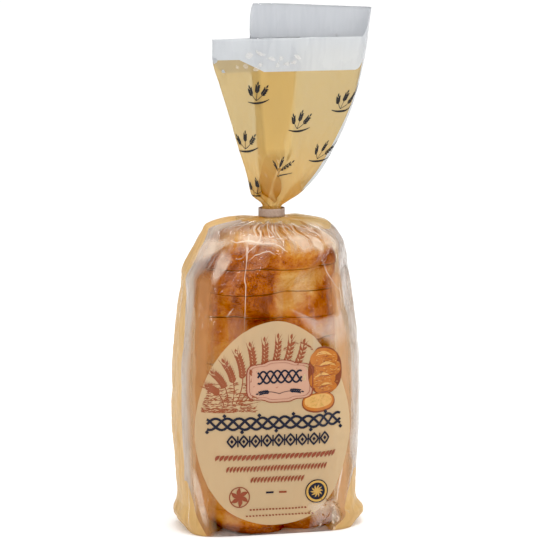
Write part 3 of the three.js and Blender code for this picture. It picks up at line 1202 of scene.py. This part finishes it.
drawn_out = in_cells(VEIL_WIDTH, VEIL_LENGTH)
threads = {"Scale": 1.0, "Detail": 4.0, "Distortion": 0.6}
streaks = add(tree, "TexNoise", threads, {"Vector": drawn_out}).outputs["Fac"]
bend = times(tree, remap(tree, v, PRINT_NECK - 48, PRINT_NECK - 42),
             remap(tree, v, PRINT_NECK - 28, PRINT_NECK - 36))
over_bend = remap(tree, v, PRINT_NECK - 46, PRINT_NECK - 34, 0, SHOULDER_VEIL)
on_wing = remap(tree, off_middle, WING_START - 14, WING_START + 6, 0, WING_VEIL)
spread = most(tree, over_bend, times(tree, bend, BEND_VEIL), on_wing)
# Left of the loaf the streaks are painted whiter, a painted highlight down the film's fold there
on_strip = remap(tree, u, -70, -77, 0, STRIP_VEIL)
white_strip = times(tree, remap(tree, streaks, 0.2, 0.6, 0.6, 1.0), on_strip)
streaky = most(tree, times(tree, remap(tree, streaks, 0.36, 0.66), spread), white_strip)

# Flat panes of the web get patches of painted glare, faint on the front and stronger over the shoulders
waves = add(tree, "TexNoise", {"Scale": 1.2}, {"Vector": drawn_out}).outputs["Color"]
warped = add(tree, "VectorMath", {"operation": "MULTIPLY_ADD", 1: (0.5, 0.5, 0.0)},
             {0: waves, 2: in_cells(PANE_WIDTH, PANE_LENGTH)})
pane = add(tree, "TexVoronoi", {"Scale": 1.0}, {"Vector": warped.outputs["Vector"]})
chosen = add(tree, "SeparateXYZ", links={"Vector": pane.outputs["Color"]})
strength = remap(tree, chosen.outputs["Y"], 0, 1, 0.2, 1.0)
glare = times(tree, remap(tree, chosen.outputs["X"], 0.62, 0.66), strength)
sheen = times(tree, glare, remap(tree, pane.outputs["Distance"], 0.1, 0.8, 1.0, 0.3))
on_front = remap(tree, v, PRINT_NECK - 50, PRINT_NECK - 36, FRONT_PANES, SHOULDER_PANES)
whitening_and_glare = most(tree, streaky, times(tree, sheen, on_front))

# A painted glow: the crust's colour painted on the film in a strip beside each side of the loaf, below the
# shoulders
left_glow = times(tree, remap(tree, u, -81, -71, 0, GLOW_LEFT), remap(tree, u, -52, -62))
right_glow = times(tree, remap(tree, u, 54, 64, 0, GLOW_RIGHT), remap(tree, u, 79, 70))
glow = times(tree, most(tree, left_glow, right_glow), remap(tree, v, 252, 232))

crumple = 0.0
for across, along, height in FACETS:
    edges = {"feature": "DISTANCE_TO_EDGE", "Scale": 1.0}
    roof = add(tree, "TexVoronoi", edges, {"Vector": in_cells(across, along)})
    crumple = calc(tree, "MULTIPLY_ADD", roof.outputs["Distance"], height * MM, crumple)
creased = bump(tree, crumple, 1.0, 1.0)

# %% Film materials
GLOSS_ROUGHNESS = 0.06
MIRROR_HEAD_ON = 0.01
MIRROR_GRAZING = 0.6
PRINTED_GRAZING = 0.24
GRAZING_POWER = 3.0
BACK_STARTS = 130.0
THROUGH_LIGHT = 0.35


def glossy(tree, body, head_on, normal=None, grazing_on=MIRROR_GRAZING):
    """The film's mirror laid over its body: weak head on, strong at a grazing angle."""
    gloss = add(tree, "BsdfGlossy", {"Roughness": GLOSS_ROUGHNESS, "Color": colour("#ffffff")},
                {"Normal": normal} if normal else None)
    grazing = calc(tree, "POWER", add(tree, "LayerWeight").outputs["Facing"], GRAZING_POWER)
    mirror = calc(tree, "ADD", times(tree, grazing, grazing_on), head_on)
    return add(tree, "MixShader", links={"Fac": mirror, 1: body, 2: gloss.outputs["BSDF"]}).outputs["Shader"]


# Under the painted white veil on the wings the film lets less light through
wing_tint = blend(tree, remap(tree, on_wing, 0, WING_VEIL), "#f6f6f6", "#dcd6d0")
clear_tint = blend(tree, bare, wing_tint, "#bcbdc0")
yellow_tint = blend(tree, gathered, "#eceedf", "#ece4c4")
tint = blend(tree, yellow, clear_tint, yellow_tint)
plain_ink = blend(tree, side_fold, "#cbad79", "#c8a56b")
fan_ink = blend(tree, over_folds, blend(tree, gathered, plain_ink, "#dcb06e"), "#d5b476")
side_ink = blend(tree, remap(tree, streaks, 0.3, 0.7), "#d8b074", "#e4c187")
back_ink = blend(tree, remap(tree, streaks, 0.2, 0.8), "#dcb67a", "#e0bb80")
on_back = remap(tree, off_middle, BACK_STARTS, BACK_STARTS + 25)
body_ink = blend(tree, on_back, side_ink, back_ink)
on_body = calc(tree, "LESS_THAN", v, neck_line)
# The fold above the neck is painted dark orange brown: painted shade over its layers of yellow ink
yellow_ink = blend(tree, deep_fold_shade, blend(tree, on_body, fan_ink, body_ink), "#ab6324")
# The bare lip's grey has lighter streaks and panes painted in, a painted sheen on its folds
back_lip = blend(tree, streaks, blend(tree, chosen.outputs["Z"], "#aeb1b6", "#b6b9bd"), "#bfc1c5")
front_lip = blend(tree, streaks, blend(tree, chosen.outputs["Z"], "#bfc2c6", "#cccfd1"), "#d4d6d8")
lip_ink = blend(tree, calc(tree, "COMPARE", u, 33.0, 82.0), back_lip, front_lip)
# Bare film under the painted glow takes the crust's orange colour
clear_ink = blend(tree, bare, blend(tree, remap(tree, glow, 0, 0.3), "#d6d0ca", "#d3a274"), lip_ink)
ink = blend(tree, cream, blend(tree, yellow, clear_ink, yellow_ink), "#cfb792")
# Bare film clouds over with the painted veil and glow, on top of a faint haze of its own
haze_glare_and_glow = most(tree, glow, calc(tree, "ADD", whitening_and_glare, 0.004))
clear_cover = most(tree, times(tree, bare, 0.93), haze_glare_and_glow)
streaked_cover = remap(tree, streaks, 0.3, 0.7, 0.72, 0.82)
body_cover = times(tree, on_body, most(tree, sides, in_corner), streaked_cover)
folds_cover = remap(tree, over_folds, 0, 1, 0, 0.78)
fan_cover = most(tree, remap(tree, side_fold, 0, 1, 0.55, 0.4), folds_cover)
yellow_cover = times(tree, yellow, most(tree, body_cover, fan_cover))
print_cover = most(tree, yellow_cover, times(tree, cream, 0.9))
cover = most(tree, clear_cover, print_cover)

see_through = add(tree, "BsdfTransparent", links={"Color": tint})
front_light = add(tree, "BsdfDiffuse", links={"Color": ink})
back_light = add(tree, "BsdfTranslucent", links={"Color": ink})
lights = {1: front_light.outputs["BSDF"], 2: back_light.outputs["BSDF"]}
scattered = add(tree, "MixShader", {"Fac": THROUGH_LIGHT}, lights)
layers = {"Fac": cover, 1: see_through.outputs["BSDF"], 2: scattered.outputs["Shader"]}
body = add(tree, "MixShader", links=layers)
film_grazing = remap(tree, yellow, 0, 1, MIRROR_GRAZING, PRINTED_GRAZING)
film_shader = glossy(tree, body.outputs["Shader"], MIRROR_HEAD_ON, creased, film_grazing)
tree.links.new(film_shader, output.inputs["Surface"])

bare_film, tree, output = new_material("bare_polypropylene_film")
see_through = add(tree, "BsdfTransparent", {"Color": colour("#fcfcfc")})
tree.links.new(glossy(tree, see_through.outputs["BSDF"], 0.0), output.inputs["Surface"])

bag_film = new_piece("bag_film", film_mesh, (printed_film, bare_film))
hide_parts("bag")
wall = bag_film.modifiers.new("wall", "SOLIDIFY")
wall.thickness = FILM_THICKNESS * MM
wall.offset = -1
wall.material_offset = 1
wall.material_offset_rim = 1
print("film reaches", [round(value * 1000, 1) for value in bag_film.dimensions], "mm each way")

# %% [markdown]
# The print's drawings are ink, so they are thin pieces that lie on the film. Each is drawn on the flat web,
# in millimetres, and is then carried to wherever that part of the web has gone: the nearest triangle of
# the flat web is looked up, and the point keeps its place between that triangle's corners. A printer does
# the same the other way round, printing the flat web before it is rolled into a bag.

# %% From the flat web to the film
film_mesh.calc_loop_triangles()
WEB_QUADS = 4 * len(settled_mesh.polygons)
flat_map = film_mesh.uv_layers["web"].data
flat_points, film_points, flat_triangles = [], [], []
for triangle in film_mesh.loop_triangles:
    if triangle.polygon_index < WEB_QUADS:
        flat_triangles.append(tuple(range(len(flat_points), len(flat_points) + 3)))
        for loop, corner in zip(triangle.loops, triangle.vertices):
            flat_points.append(Vector((*(flat_map[loop].uv / MM), 0)))
            film_points.append((film_mesh.vertices[corner].co / MM, film_mesh.vertices[corner].normal))
flat_web = BVHTree.FromPolygons(flat_points, flat_triangles)


def on_film(u, v, lift):
    """The place in millimetres, a little off the film, of a point of the flat web."""
    spot, _, number, _ = flat_web.find_nearest(Vector((u, v, 0)))
    corners = flat_triangles[number]
    outward = [film_points[corner][0] + film_points[corner][1] * lift for corner in corners]
    return geometry.barycentric_transform(spot, *(flat_points[corner] for corner in corners), *outward)


def stretch_at(u, v):
    """How many times wider a drawing has to be at a place to keep its width where the film is gathered."""
    width = (on_film(u + 4, v, 0) - on_film(u - 4, v, 0)).length / 8
    return clamp(1 / max(width, 0.01), 1.0, 2.4)


print("web triangles", len(flat_triangles), "stretch at the neck", round(stretch_at(0, PRINT_NECK + 40), 2))

# %% [markdown]
# Two kinds of mark make every drawing. A ribbon is a line of ink along a path, with a width that can taper
# to points, which gives stems, grains, furrows and outlines. A patch is a filled shape round a middle. Both
# are one grid each, laid out flat. The design is a made-up one in the manner of bakery bags: ears of wheat
# over a ploughed field, a bun, a plaque and bands of plaited ornament.

# %% Marks of ink
LABEL_SHIFT = 5.0

# name: its colour, how far it lies off the film, and how far its drawings are moved to the right
INKS = {
    "sienna": ("#834426", 0.10, LABEL_SHIFT),
    "rose": ("#b08770", 0.20, LABEL_SHIFT),
    "umber": ("#733512", 0.20, LABEL_SHIFT),
    "amber": ("#a5601c", 0.30, LABEL_SHIFT),
    "straw": ("#bd8f4f", 0.40, LABEL_SHIFT),
    "russet": ("#7d3a22", 0.48, LABEL_SHIFT),
    "navy": ("#0d1122", 0.48, LABEL_SHIFT),
    "gold": ("#b08a45", 0.58, LABEL_SHIFT),
    "soot": ("#1d1b1c", 0.20, 0.0),
}

# Painted marks of light and shade on the film: colour, least and most cover, and lift
FILM_MARKS = {
    "glare_haze": ("#ebe2d8", 0.16, 0.28, 0.66),
    "fold_shade": ("#94602c", 0.3, 0.6, 0.70),
    "sheen": ("#f0dfcc", 0.26, 0.42, 0.74),
    "crease": ("#f3e3d2", 0.26, 0.54, 0.78),
}
MARK_NOISE = 9.0
INK_GRAIN = 0.9
flat_art = {name: bmesh.new() for name in (*INKS, *FILM_MARKS)}
for drawing in flat_art.values():
    drawing.verts.layers.float.new("fade")

# %% Ribbons and patches
def bow(start, end, bend=0.0):
    """A path from start to end that bulges to its left by some millimetres."""
    start, end = Vector(start), Vector(end)
    left = Vector((start.y - end.y, end.x - start.x)).normalized()
    return lambda share: start.lerp(end, share) + left * (4 * bend * share * (1 - share))


def ribbon(ink, path, width, steps=10, taper=0.0):
    """A line of ink along a path, as wide all along, or with a taper of 1 pointed at both ends."""
    across_steps = 4 if ink in FILM_MARKS else 1
    strip = bmesh.ops.create_grid(flat_art[ink], x_segments=steps, y_segments=across_steps, size=0.5)
    fade = flat_art[ink].verts.layers.float["fade"]
    for vertex in strip["verts"]:
        vertex[fade] = 1 - 2 * abs(vertex.co.y)
        share = vertex.co.x + 0.5
        along = (path(share + 0.02) - path(share - 0.02)).normalized()
        half = vertex.co.y * width * mix(1, math.sin(math.pi * share), taper)
        place = path(share) + Vector((-along.y, along.x)) * half
        vertex.co = (place.x, place.y, 0)


def through(*points):
    """A path of straight runs from point to point."""
    def path(share):
        place = clamp(share) * (len(points) - 1)
        number = min(int(place), len(points) - 2)
        return Vector(points[number]).lerp(Vector(points[number + 1]), place - number)
    return path


def patch(ink, middle, reach, around=32, rings=4, hole=0.0):
    """A filled shape of ink, whose reach gives the distance from its middle to its edge at each angle."""
    disc = bmesh.ops.create_grid(flat_art[ink], x_segments=around, y_segments=rings, size=0.5)
    fade = flat_art[ink].verts.layers.float["fade"]
    for vertex in disc["verts"]:
        vertex[fade] = 0.5 - vertex.co.y
        angle = -2 * math.pi * vertex.co.x
        out = mix(hole, 1, vertex.co.y + 0.5) * reach(angle)
        vertex.co = (Vector(middle) + polar(angle, out)).to_3d()


def ellipse(half_width, half_height, power=2.0):
    """The reach of an ellipse, or with a power above 2 of a rounder-cornered box, at each angle."""
    def reach(angle):
        across = abs(math.cos(angle) / half_width) ** power
        return (across + abs(math.sin(angle) / half_height) ** power) ** (-1 / power)
    return reach


def pane_of(*corners):
    """The middle of a straight-sided shape, and its reach at each angle from there."""
    middle = sum((Vector(corner) for corner in corners), Vector((0, 0))) / len(corners)
    spokes = [Vector(corner) - middle for corner in corners]

    def reach(angle):
        far = polar(angle, FILM_ROUND)
        sides = zip(spokes, spokes[1:] + spokes[:1])
        hits = [geometry.intersect_line_line_2d((0, 0), far, start, end) for start, end in sides]
        return max((hit.length for hit in hits if hit), default=0.0)

    return middle, reach

# %% Grains and ears of wheat
def grain(ink, foot, angle, length, width):
    """One pointed grain or leaf that grows from its foot at an angle."""
    tip = Vector(foot) + polar(angle, length)
    ribbon(ink, bow(foot, tip, 0.1 * length), width, steps=5, taper=1)


def wheat_ear(ink, foot, tip, bend=0.0, pairs=6, size=3.4, awns=0.0):
    """A stem whose upper part carries pairs of grains, with or without long awns."""
    stem = bow(foot, tip, bend)
    ribbon(ink, stem, 0.16 * size, steps=12)
    for pair in range(pairs):
        share = mix(0.5, 0.97, pair / pairs)
        here, ahead = stem(share), stem(share + 0.03)
        heading = math.atan2(ahead.y - here.y, ahead.x - here.x)
        for side in (-1, 1):
            grain(ink, here, heading + side * 0.62, size, 0.42 * size)
            if awns:
                grain(ink, here, heading + side * 0.3, awns, 0.1 * size)
    grain(ink, tip, heading, size, 0.42 * size)


print("inks", list(INKS), "marks", list(FILM_MARKS))

# %% Wheat and field
EAR_TIPS = (
    (-63, 139), (-58, 151), (-49, 161), (-38, 169), (-26, 175), (-13, 179), (0, 181), (12, 180), (23, 176))

for number, tip in enumerate(EAR_TIPS):
    foot = (-50 + 3.6 * number, 122 + 0.8 * number)
    wheat_ear("sienna", foot, tip, -3 - 0.8 * number, pairs=8, size=5.6, awns=12)
for rise in range(0, 21, 4):
    left, right = (-70 + 0.4 * rise, 117 + rise), (-22 + 0.6 * rise, 120 + 0.7 * rise)
    ribbon("sienna", bow(left, right, -2.4), 0.55, taper=0.5)
for number in range(300):
    low = mix(116, 142, chance.random() ** 1.6)
    start = Vector((mix(-72 + 0.3 * (low - 116), -24, chance.random() ** 1.3), low))
    heading = chance.uniform(-0.3, 0.5)
    end = start + polar(heading, chance.uniform(2.5, 6))
    ribbon("sienna", bow(start, end, 0.5), 0.8, steps=3, taper=1)
for number in range(70):
    start = Vector((16, 168)) + polar(chance.uniform(0.2, 2.9), 13, 9)
    ribbon("sienna", bow(start, start + Vector((2.6, chance.uniform(-1.5, 1.5))), 0.7), 0.5, steps=3, taper=1)

# %% Bun, slice and plaque
BUN_MIDDLE = Vector((43, 150))
CRUMB_MIDDLE = Vector((36.6, 123.4))

# Lobes of the bun: how far each is across and up from the middle, and its half width and height
BUN_LOBES = ((-1, 11.5, 14.5, 9), (2.5, 2, 14, 8.6), (-2.5, -7.5, 14, 8.6), (1, -15, 12, 5.6))

patch("umber", BUN_MIDDLE, ellipse(17.5, 22, 2.3), around=64, rings=10)
for across, up, half_width, half_height in BUN_LOBES:
    middle = BUN_MIDDLE + Vector((across, up))
    patch("amber", middle, ellipse(half_width, half_height, 2.2), around=56, rings=6)
    size = Vector((half_width, half_height))
    shine = bow(middle + size * Vector((-0.6, 0.28)), middle + size * Vector((0.7, 0.2)), 0.3 * half_height)
    ribbon("straw", shine, 0.34 * half_height, steps=12, taper=1)
    seam = bow(middle + size * Vector((-0.8, -0.5)), middle + size * Vector((0.8, -0.5)), -0.3 * half_height)
    ribbon("russet", seam, 0.8, steps=12, taper=1)
patch("umber", (37, 122), ellipse(17, 9, 2.4), around=64, rings=5)
patch("amber", (37, 122.5), ellipse(16, 8, 2.4), around=64, rings=5)
patch("straw", CRUMB_MIDDLE, ellipse(14.2, 6.2, 2.4), around=56, rings=4)
for number in range(150):
    turn, out = chance.uniform(0, 2 * math.pi), math.sqrt(chance.random())
    start = BUN_MIDDLE + polar(turn, 15 * out, 19 * out)
    end = start + Vector((chance.uniform(1.2, 3.4), chance.uniform(-0.8, 0.8)))
    kind = chance.choice(("russet", "straw"))
    ribbon(kind, bow(start, end, 0.3), chance.uniform(0.3, 0.7), steps=3, taper=1)
for number in range(40):
    turn, out = chance.uniform(0, 2 * math.pi), math.sqrt(chance.random())
    hole = CRUMB_MIDDLE + polar(turn, 13 * out, 5 * out)
    patch("gold", hole, ellipse(chance.uniform(0.4, 1.1), chance.uniform(0.3, 0.6)), around=8, rings=1)

PLAQUE_MIDDLE = (0, 143)


def plaque_edge(half_width, half_height):
    """The reach of a plaque whose four corners are scooped in."""
    box = ellipse(half_width, half_height, 5.0)
    return lambda angle: box(angle) * (1 - 0.13 * math.sin(2 * angle) ** 8)


patch("rose", PLAQUE_MIDDLE, plaque_edge(29.5, 18.5), around=64, rings=6)
patch("russet", PLAQUE_MIDDLE, plaque_edge(30.4, 19.4), around=64, rings=1, hole=0.965)
patch("russet", PLAQUE_MIDDLE, plaque_edge(27.6, 16.6), around=64, rings=1, hole=0.985)


def plait(ink, left, right, middle_v, height, period, width):
    """Three strands that wind over each other, as in a braided loaf."""
    for strand in range(ROPES):
        def path(share):
            turn = 2 * math.pi * ((right - left) * share / period + strand / ROPES)
            return Vector((mix(left, right, share), middle_v + 0.5 * height * math.sin(turn)))
        ribbon(ink, path, width, steps=round((right - left) / period * 14))


plait("navy", -20, 20, 147, 11, 20, 1.7)
for side in (1, -1):
    wheat_ear("navy", (0, 131.5), (19 * side, 133), 1.5 * side, size=3.2)

# %% Bands of ornament, dashes, rosette and roundel
PLAIT_LEFT, PLAIT_UP = -65, 105.5
KNOB_PITCH = 15.5
KNOB_OUT = 7.4
DIAMOND_LEFT, DIAMOND_UP = -43, 89.5
DIAMOND_PITCH = 10.6

# Rows of slanting strokes: first place, number, pitch, angle, length and width
STROKE_ROWS = (((-58, 71.6), 28, 4, 0.9, 7.0, 3.0), ((-48, 61.0), 30, 3.1, 1.1, 6.6, 2.2),
               ((-26, 50.8), 16, 3.1, 1.1, 6.6, 2.2))
# Rows of dashes: first place, number and length
DASH_ROWS = (((-27, 26.5), 18, 1.8), ((-31, 20.5), 21, 1.6))
DASH_PITCH = 3

plait("navy", PLAIT_LEFT, 59, PLAIT_UP, 10.5, 31, 2.3)
for number in range(9):
    knob = (PLAIT_LEFT + KNOB_PITCH * number, PLAIT_UP + (KNOB_OUT if number % 2 else -KNOB_OUT))
    patch("navy", knob, ellipse(1.9, 1.9, 1.2), around=8, rings=1)
for number in range(9):
    middle = (DIAMOND_LEFT + DIAMOND_PITCH * number, DIAMOND_UP)
    patch("navy", middle, ellipse(4.9, 6.2, 1.15), around=16, rings=1, hole=0.6)
    patch("navy", middle, ellipse(1.5, 2.0, 1.2), around=8, rings=1)
for number in range(8):
    between = DIAMOND_LEFT + DIAMOND_PITCH * (number + 0.5)
    ribbon("navy", bow((between, DIAMOND_UP - 5), (between, DIAMOND_UP + 5)), 1.3, steps=2)
for (left, up), count, pitch, angle, length, width in STROKE_ROWS:
    for number in range(count):
        grain("russet", (left + pitch * number, up), angle, length, width)
for (left, up), count, length in DASH_ROWS:
    for start in range(left, left + DASH_PITCH * count, DASH_PITCH):
        ribbon("russet", bow((start, up), (start + length, up)), 1.5, steps=1)

ROSETTE_MIDDLE = (-36.5, 38.5)
ROUNDEL_MIDDLE = (35.5, 41)

for petal in range(6):
    grain("russet", ROSETTE_MIDDLE, petal * math.pi / 3 + 0.5, 9.0, 4.0)
patch("russet", ROSETTE_MIDDLE, ellipse(9.6, 9.6), around=40, rings=1, hole=0.9)
patch("navy", ROUNDEL_MIDDLE, ellipse(10.8, 10.8), around=48, rings=5)
patch("gold", ROUNDEL_MIDDLE, ellipse(9.8, 9.8), around=48, rings=1, hole=0.8)
for ray in range(10):
    grain("gold", ROUNDEL_MIDDLE, ray * math.pi / 5, 6.0, 1.5)
ribbon("navy", bow((-12, 42), (-5, 42)), 1.7, steps=2)
ribbon("russet", bow((0, 42), (7, 42)), 1.7, steps=2)

# %% Sprigs scattered over the fan
FRONT_SPRIGS = ((-7, 114), (46, 86), (23, 42), (-34, 68), (92, 56), (99, 104), (-38, 22))
BACK_SPRIGS = ((208, 40), (-214, 84), (204, 124), (160, 132))


def sprig(u, v):
    """Three short ears of wheat over a curl, about 20 mm wide on the film."""
    wide = stretch_at(u, v)
    for lean in (-1, 0, 1):
        foot = (u - 2 * wide, v - 5)
        tip = (u + wide * (7 * lean + 1), v + 9 - 3 * abs(lean))
        wheat_ear("soot", foot, tip, -1.2 * lean, pairs=4, size=4.4)
    ribbon("soot", bow((u - 10 * wide, v - 6), (u + 10 * wide, v - 4), -2.4), 2.0, steps=10, taper=0.7)


for u_place, above_neck in FRONT_SPRIGS + BACK_SPRIGS:
    sprig(u_place, fan_start + above_neck)

# %% [markdown]
# Polypropylene turns white where it is bent sharply, and a flat facet that faces a lamp glares. These marks
# paint that glare, and the shade in the folds between, into the film's colour: painted highlights, painted
# glare and painted shade, drawn like the ink, in a material that lets most of the light through. Sheen is a
# broad thin haze of painted glare, and so is a glare haze, a crease is a narrow dense line of painted
# highlight on partly whitened film, and a fold shade is a brown line of painted shade. They gather where the
# film turns over the top edge of the loaf, and at the foot, where its end is folded under.

# %% Painted sheen, glare, highlights and shade on the film
# Patches of painted glare on the flat web, each given by its corners
HEEL_SHEEN = ((-64, 265), (-54, 261), (-47, 255), (-49, 246), (-55, 230), (-60, 232), (-66, 252))
LEFT_CORNER_SHEEN = ((-109, 242), (-80, 249), (-66, 263), (-52, 270), (-56, 277), (-98, 271), (-109, 256))
GLARE_HAZES = (
    ((-112, 238), (-104, 236), (-99, 188), (-104, 186)),
    ((12, 212), (40, 196), (78, 206), (80, 178), (62, 168), (30, 190)),
    ((30, 30), (62, 36), (60, 10), (34, 6)),
)
SHEENS = (
    HEEL_SHEEN, LEFT_CORNER_SHEEN,
    ((-58, 276), (-42, 267), (-22, 267), (0, 263), (4, 272), (-22, 278), (-44, 281)),
    ((4, 280), (24, 258), (36, 262), (30, 280)), ((32, 264), (45, 257), (52, 266), (40, 284)),
    ((48, 268), (61, 257), (72, 265), (62, 286)), ((-79, 66), (-71, 64), (-57, 12), (-64, 8)),
)
# A wedge of painted highlight beside an upright crease
UPRIGHT_WEDGE = ((-42, 268), (-37, 268), (-31, 246))

# The corners of each painted crease highlight on the flat web, and its width
FOLD_LINES = (
    (((-58, 272), (-50, 270), (-40, 272), (-23, 270), (-3, 267), (6, 262)), 2.4),
    (((-18, 284), (-28, 270)), 3.4), (((-9, 289), (-14, 274), (8, 277), (1, 267)), 1.5),
    (((-36, 280), (-38, 270)), 2.4), (((11, 297), (34, 282), (31, 269)), 2.0),
    (((35, 300), (55, 287), (52, 272)), 2.2), (((60, 308), (73, 291), (75, 272)), 1.8),
    (((-40, 270), (-26, 231), (-27, 190)), 0.9), (((-47, 255), (-42, 256), (-35, 262), (-28, 269)), 1.2),
    (((-33, 253), (-28, 259), (-14, 262), (-7, 259)), 1.1), (((-44, 202), (-37, 211)), 1.1),
    (((40, 260), (62, 232), (73, 222)), 1.0), (((72, 230), (74, 204)), 0.9), (((77, 228), (79, 206)), 0.9),
    (((-82, 52), (-79, 4)), 1.1), (((67, 60), (60, 30)), 2.6),
)
for corners in GLARE_HAZES:
    patch("glare_haze", *pane_of(*corners), around=40, rings=8)
for corners in SHEENS:
    patch("sheen", *pane_of(*corners), around=40, rings=8)
patch("crease", *pane_of(*UPRIGHT_WEDGE), around=32, rings=6)
for corners, width in FOLD_LINES:
    ribbon("crease", through(*corners), width, steps=8 * len(corners), taper=0.8)
# Streaks from the neck down over the shoulders: painted fold shade and painted sheen in turn, and every sixth
# a painted crease highlight
for number in range(26):
    kind = ("fold_shade", "sheen", "fold_shade", "sheen", "fold_shade", "crease")[number % 6]
    above = mix(-40, 92, (number + chance.random()) / 26)
    start = Vector((above, chance.uniform(290, 304)))
    end = Vector((above * 0.9 + chance.uniform(-3, 3), chance.uniform(266, 284)))
    wide = 1.3 if kind == "crease" else chance.uniform(2.5, 5.0)
    ribbon(kind, bow(start, end), wide, steps=8, taper=1)
# Crumpled film at the foot on the right: short strokes of painted fold shade and painted sheen
for number in range(30):
    start = Vector((chance.uniform(34, 66), chance.uniform(4, 32)))
    end = start + Vector((chance.uniform(-8, 8), chance.uniform(-6, 6)))
    kind = "fold_shade" if number % 2 else "sheen"
    ribbon(kind, bow(start, end, 0.4), chance.uniform(1.0, 2.6), steps=4, taper=1)
# Soft painted glare on the fan's front strip, just above the print
for number in range(12):
    start = Vector((chance.uniform(-28, 34), fan_start + chance.uniform(137, 152)))
    end = start + Vector((chance.uniform(-12, 12), chance.uniform(-5, 5)))
    ribbon("glare_haze", bow(start, end, 1), chance.uniform(4, 9), steps=8, taper=1)
print(len(GLARE_HAZES), "hazes,", len(SHEENS), "sheens,", len(FOLD_LINES), "creases")

# %% Carry the drawings to the film
def carry(name, piece_name, material, lift, shift=0.0):
    """Moves a flat drawing to the film, as a piece of its own."""
    shaper = flat_art[name]
    bmesh.ops.remove_doubles(shaper, verts=shaper.verts, dist=0.01)
    for vertex in shaper.verts:
        vertex.co = on_film(vertex.co.x + shift, vertex.co.y, lift) * MM
    mesh = mesh_from(shaper, piece_name)
    piece = new_piece(piece_name, mesh, (material,))
    print(piece_name, len(mesh.polygons), "faces")


for name, (code, lift, shift) in INKS.items():
    ink_material, tree, output = new_material(f"{name}_flexo_ink")
    worn = remap(tree, spots(tree, INK_GRAIN), 0.2, 0.8, 0.35, 0.6)
    finish_material(tree, output, {"Base Color": colour(code)}, {"Roughness": worn})
    carry(name, f"{name}_ink", ink_material, lift, shift)

# Each mark mixes its colour into clear film: the painted glare, highlights and shade of its kind
for name, (code, faint, dense, lift) in FILM_MARKS.items():
    painted_mark, tree, output = new_material(f"{name}_painted_on_polypropylene")
    rim = remap(tree, add(tree, "Attribute", {"attribute_name": "fade"}).outputs["Fac"], 0, 0.4)
    cover = times(tree, rim, remap(tree, spots(tree, MARK_NOISE), 0.3, 0.7, faint, dense))
    clear = add(tree, "BsdfTransparent")
    white = add(tree, "BsdfDiffuse", {"Color": colour(code)})
    hazed = add(tree, "MixShader", links={"Fac": cover, 1: clear.outputs["BSDF"], 2: white.outputs["BSDF"]})
    tree.links.new(hazed.outputs["Shader"], output.inputs["Surface"])
    carry(name, f"film_{name}", painted_mark, lift)

# %% [markdown]
# The band is a strip of satin white tape, wrapped a little more than once round the neck. It is a flat strip
# first, and each of its points is then turned round the neck, with the radius growing by the tape's
# thickness in each turn, so that the free end lies on the first layer. It bears the faint upright ripples
# of the gathered film under it.

# %% Neck band
TAPE_THICKNESS = 0.35
TAPE_TURNS = 1.22
TAPE_START_TURN = 0.62
RIPPLE = 0.22
TAPE_STEPS = 170
TAPE_SLIP = 0.175
TAPE_EDGE = 0.3
FIBRE = 1.2

white_tape, tree, output = new_material("satin_white_paper_tape")
fibre = spots(tree, FIBRE, Detail=4.0)
finish_material(tree, output, {"Roughness": 0.5}, {
    "Base Color": ramp(tree, fibre, ((0.3, "#8b7566"), (0.7, "#a48e7f"))),
    "Normal": bump(tree, fibre, 0.2, 0.1 * MM)})

shaper = bmesh.new()
bmesh.ops.create_grid(shaper, x_segments=TAPE_STEPS, y_segments=6, size=0.5)
half_width = (band_high.x - band_low.x) / 2 / MM - TAPE_THICKNESS * 2
half_depth = (band_high.y - band_low.y) / 2 / MM - TAPE_THICKNESS * 2
for vertex in shaper.verts:
    turn = TAPE_TURNS * (vertex.co.x + 0.5)
    angle = 2 * math.pi * (TAPE_START_TURN + turn)
    ripple = RIPPLE * (noise.noise(Vector((3.1 * math.cos(angle), 3.1 * math.sin(angle), 0.2 * turn))) - 0.2)
    out = TAPE_THICKNESS * turn + ripple
    rise = (vertex.co.y + 0.5) * (band_high.z - band_low.z - 2 * TAPE_EDGE * MM)
    vertex.co = Vector((
        (half_width + out) * math.cos(angle) * MM,
        (half_depth + out) * math.sin(angle) * MM,
        band_low.z + rise + (TAPE_EDGE + TAPE_SLIP * (turn - 0.5)) * MM,
    ))
bmesh.ops.recalc_face_normals(shaper, faces=shaper.faces)
band_mesh = mesh_from(shaper, "neck_tape")
neck_tape = new_piece("neck_tape", band_mesh, (white_tape,))
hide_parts("neck_band")
thick = neck_tape.modifiers.new("thickness", "SOLIDIFY")
thick.thickness = TAPE_THICKNESS * 0.8 * MM
thick.offset = 1
print("tape", len(band_mesh.polygons), "faces")
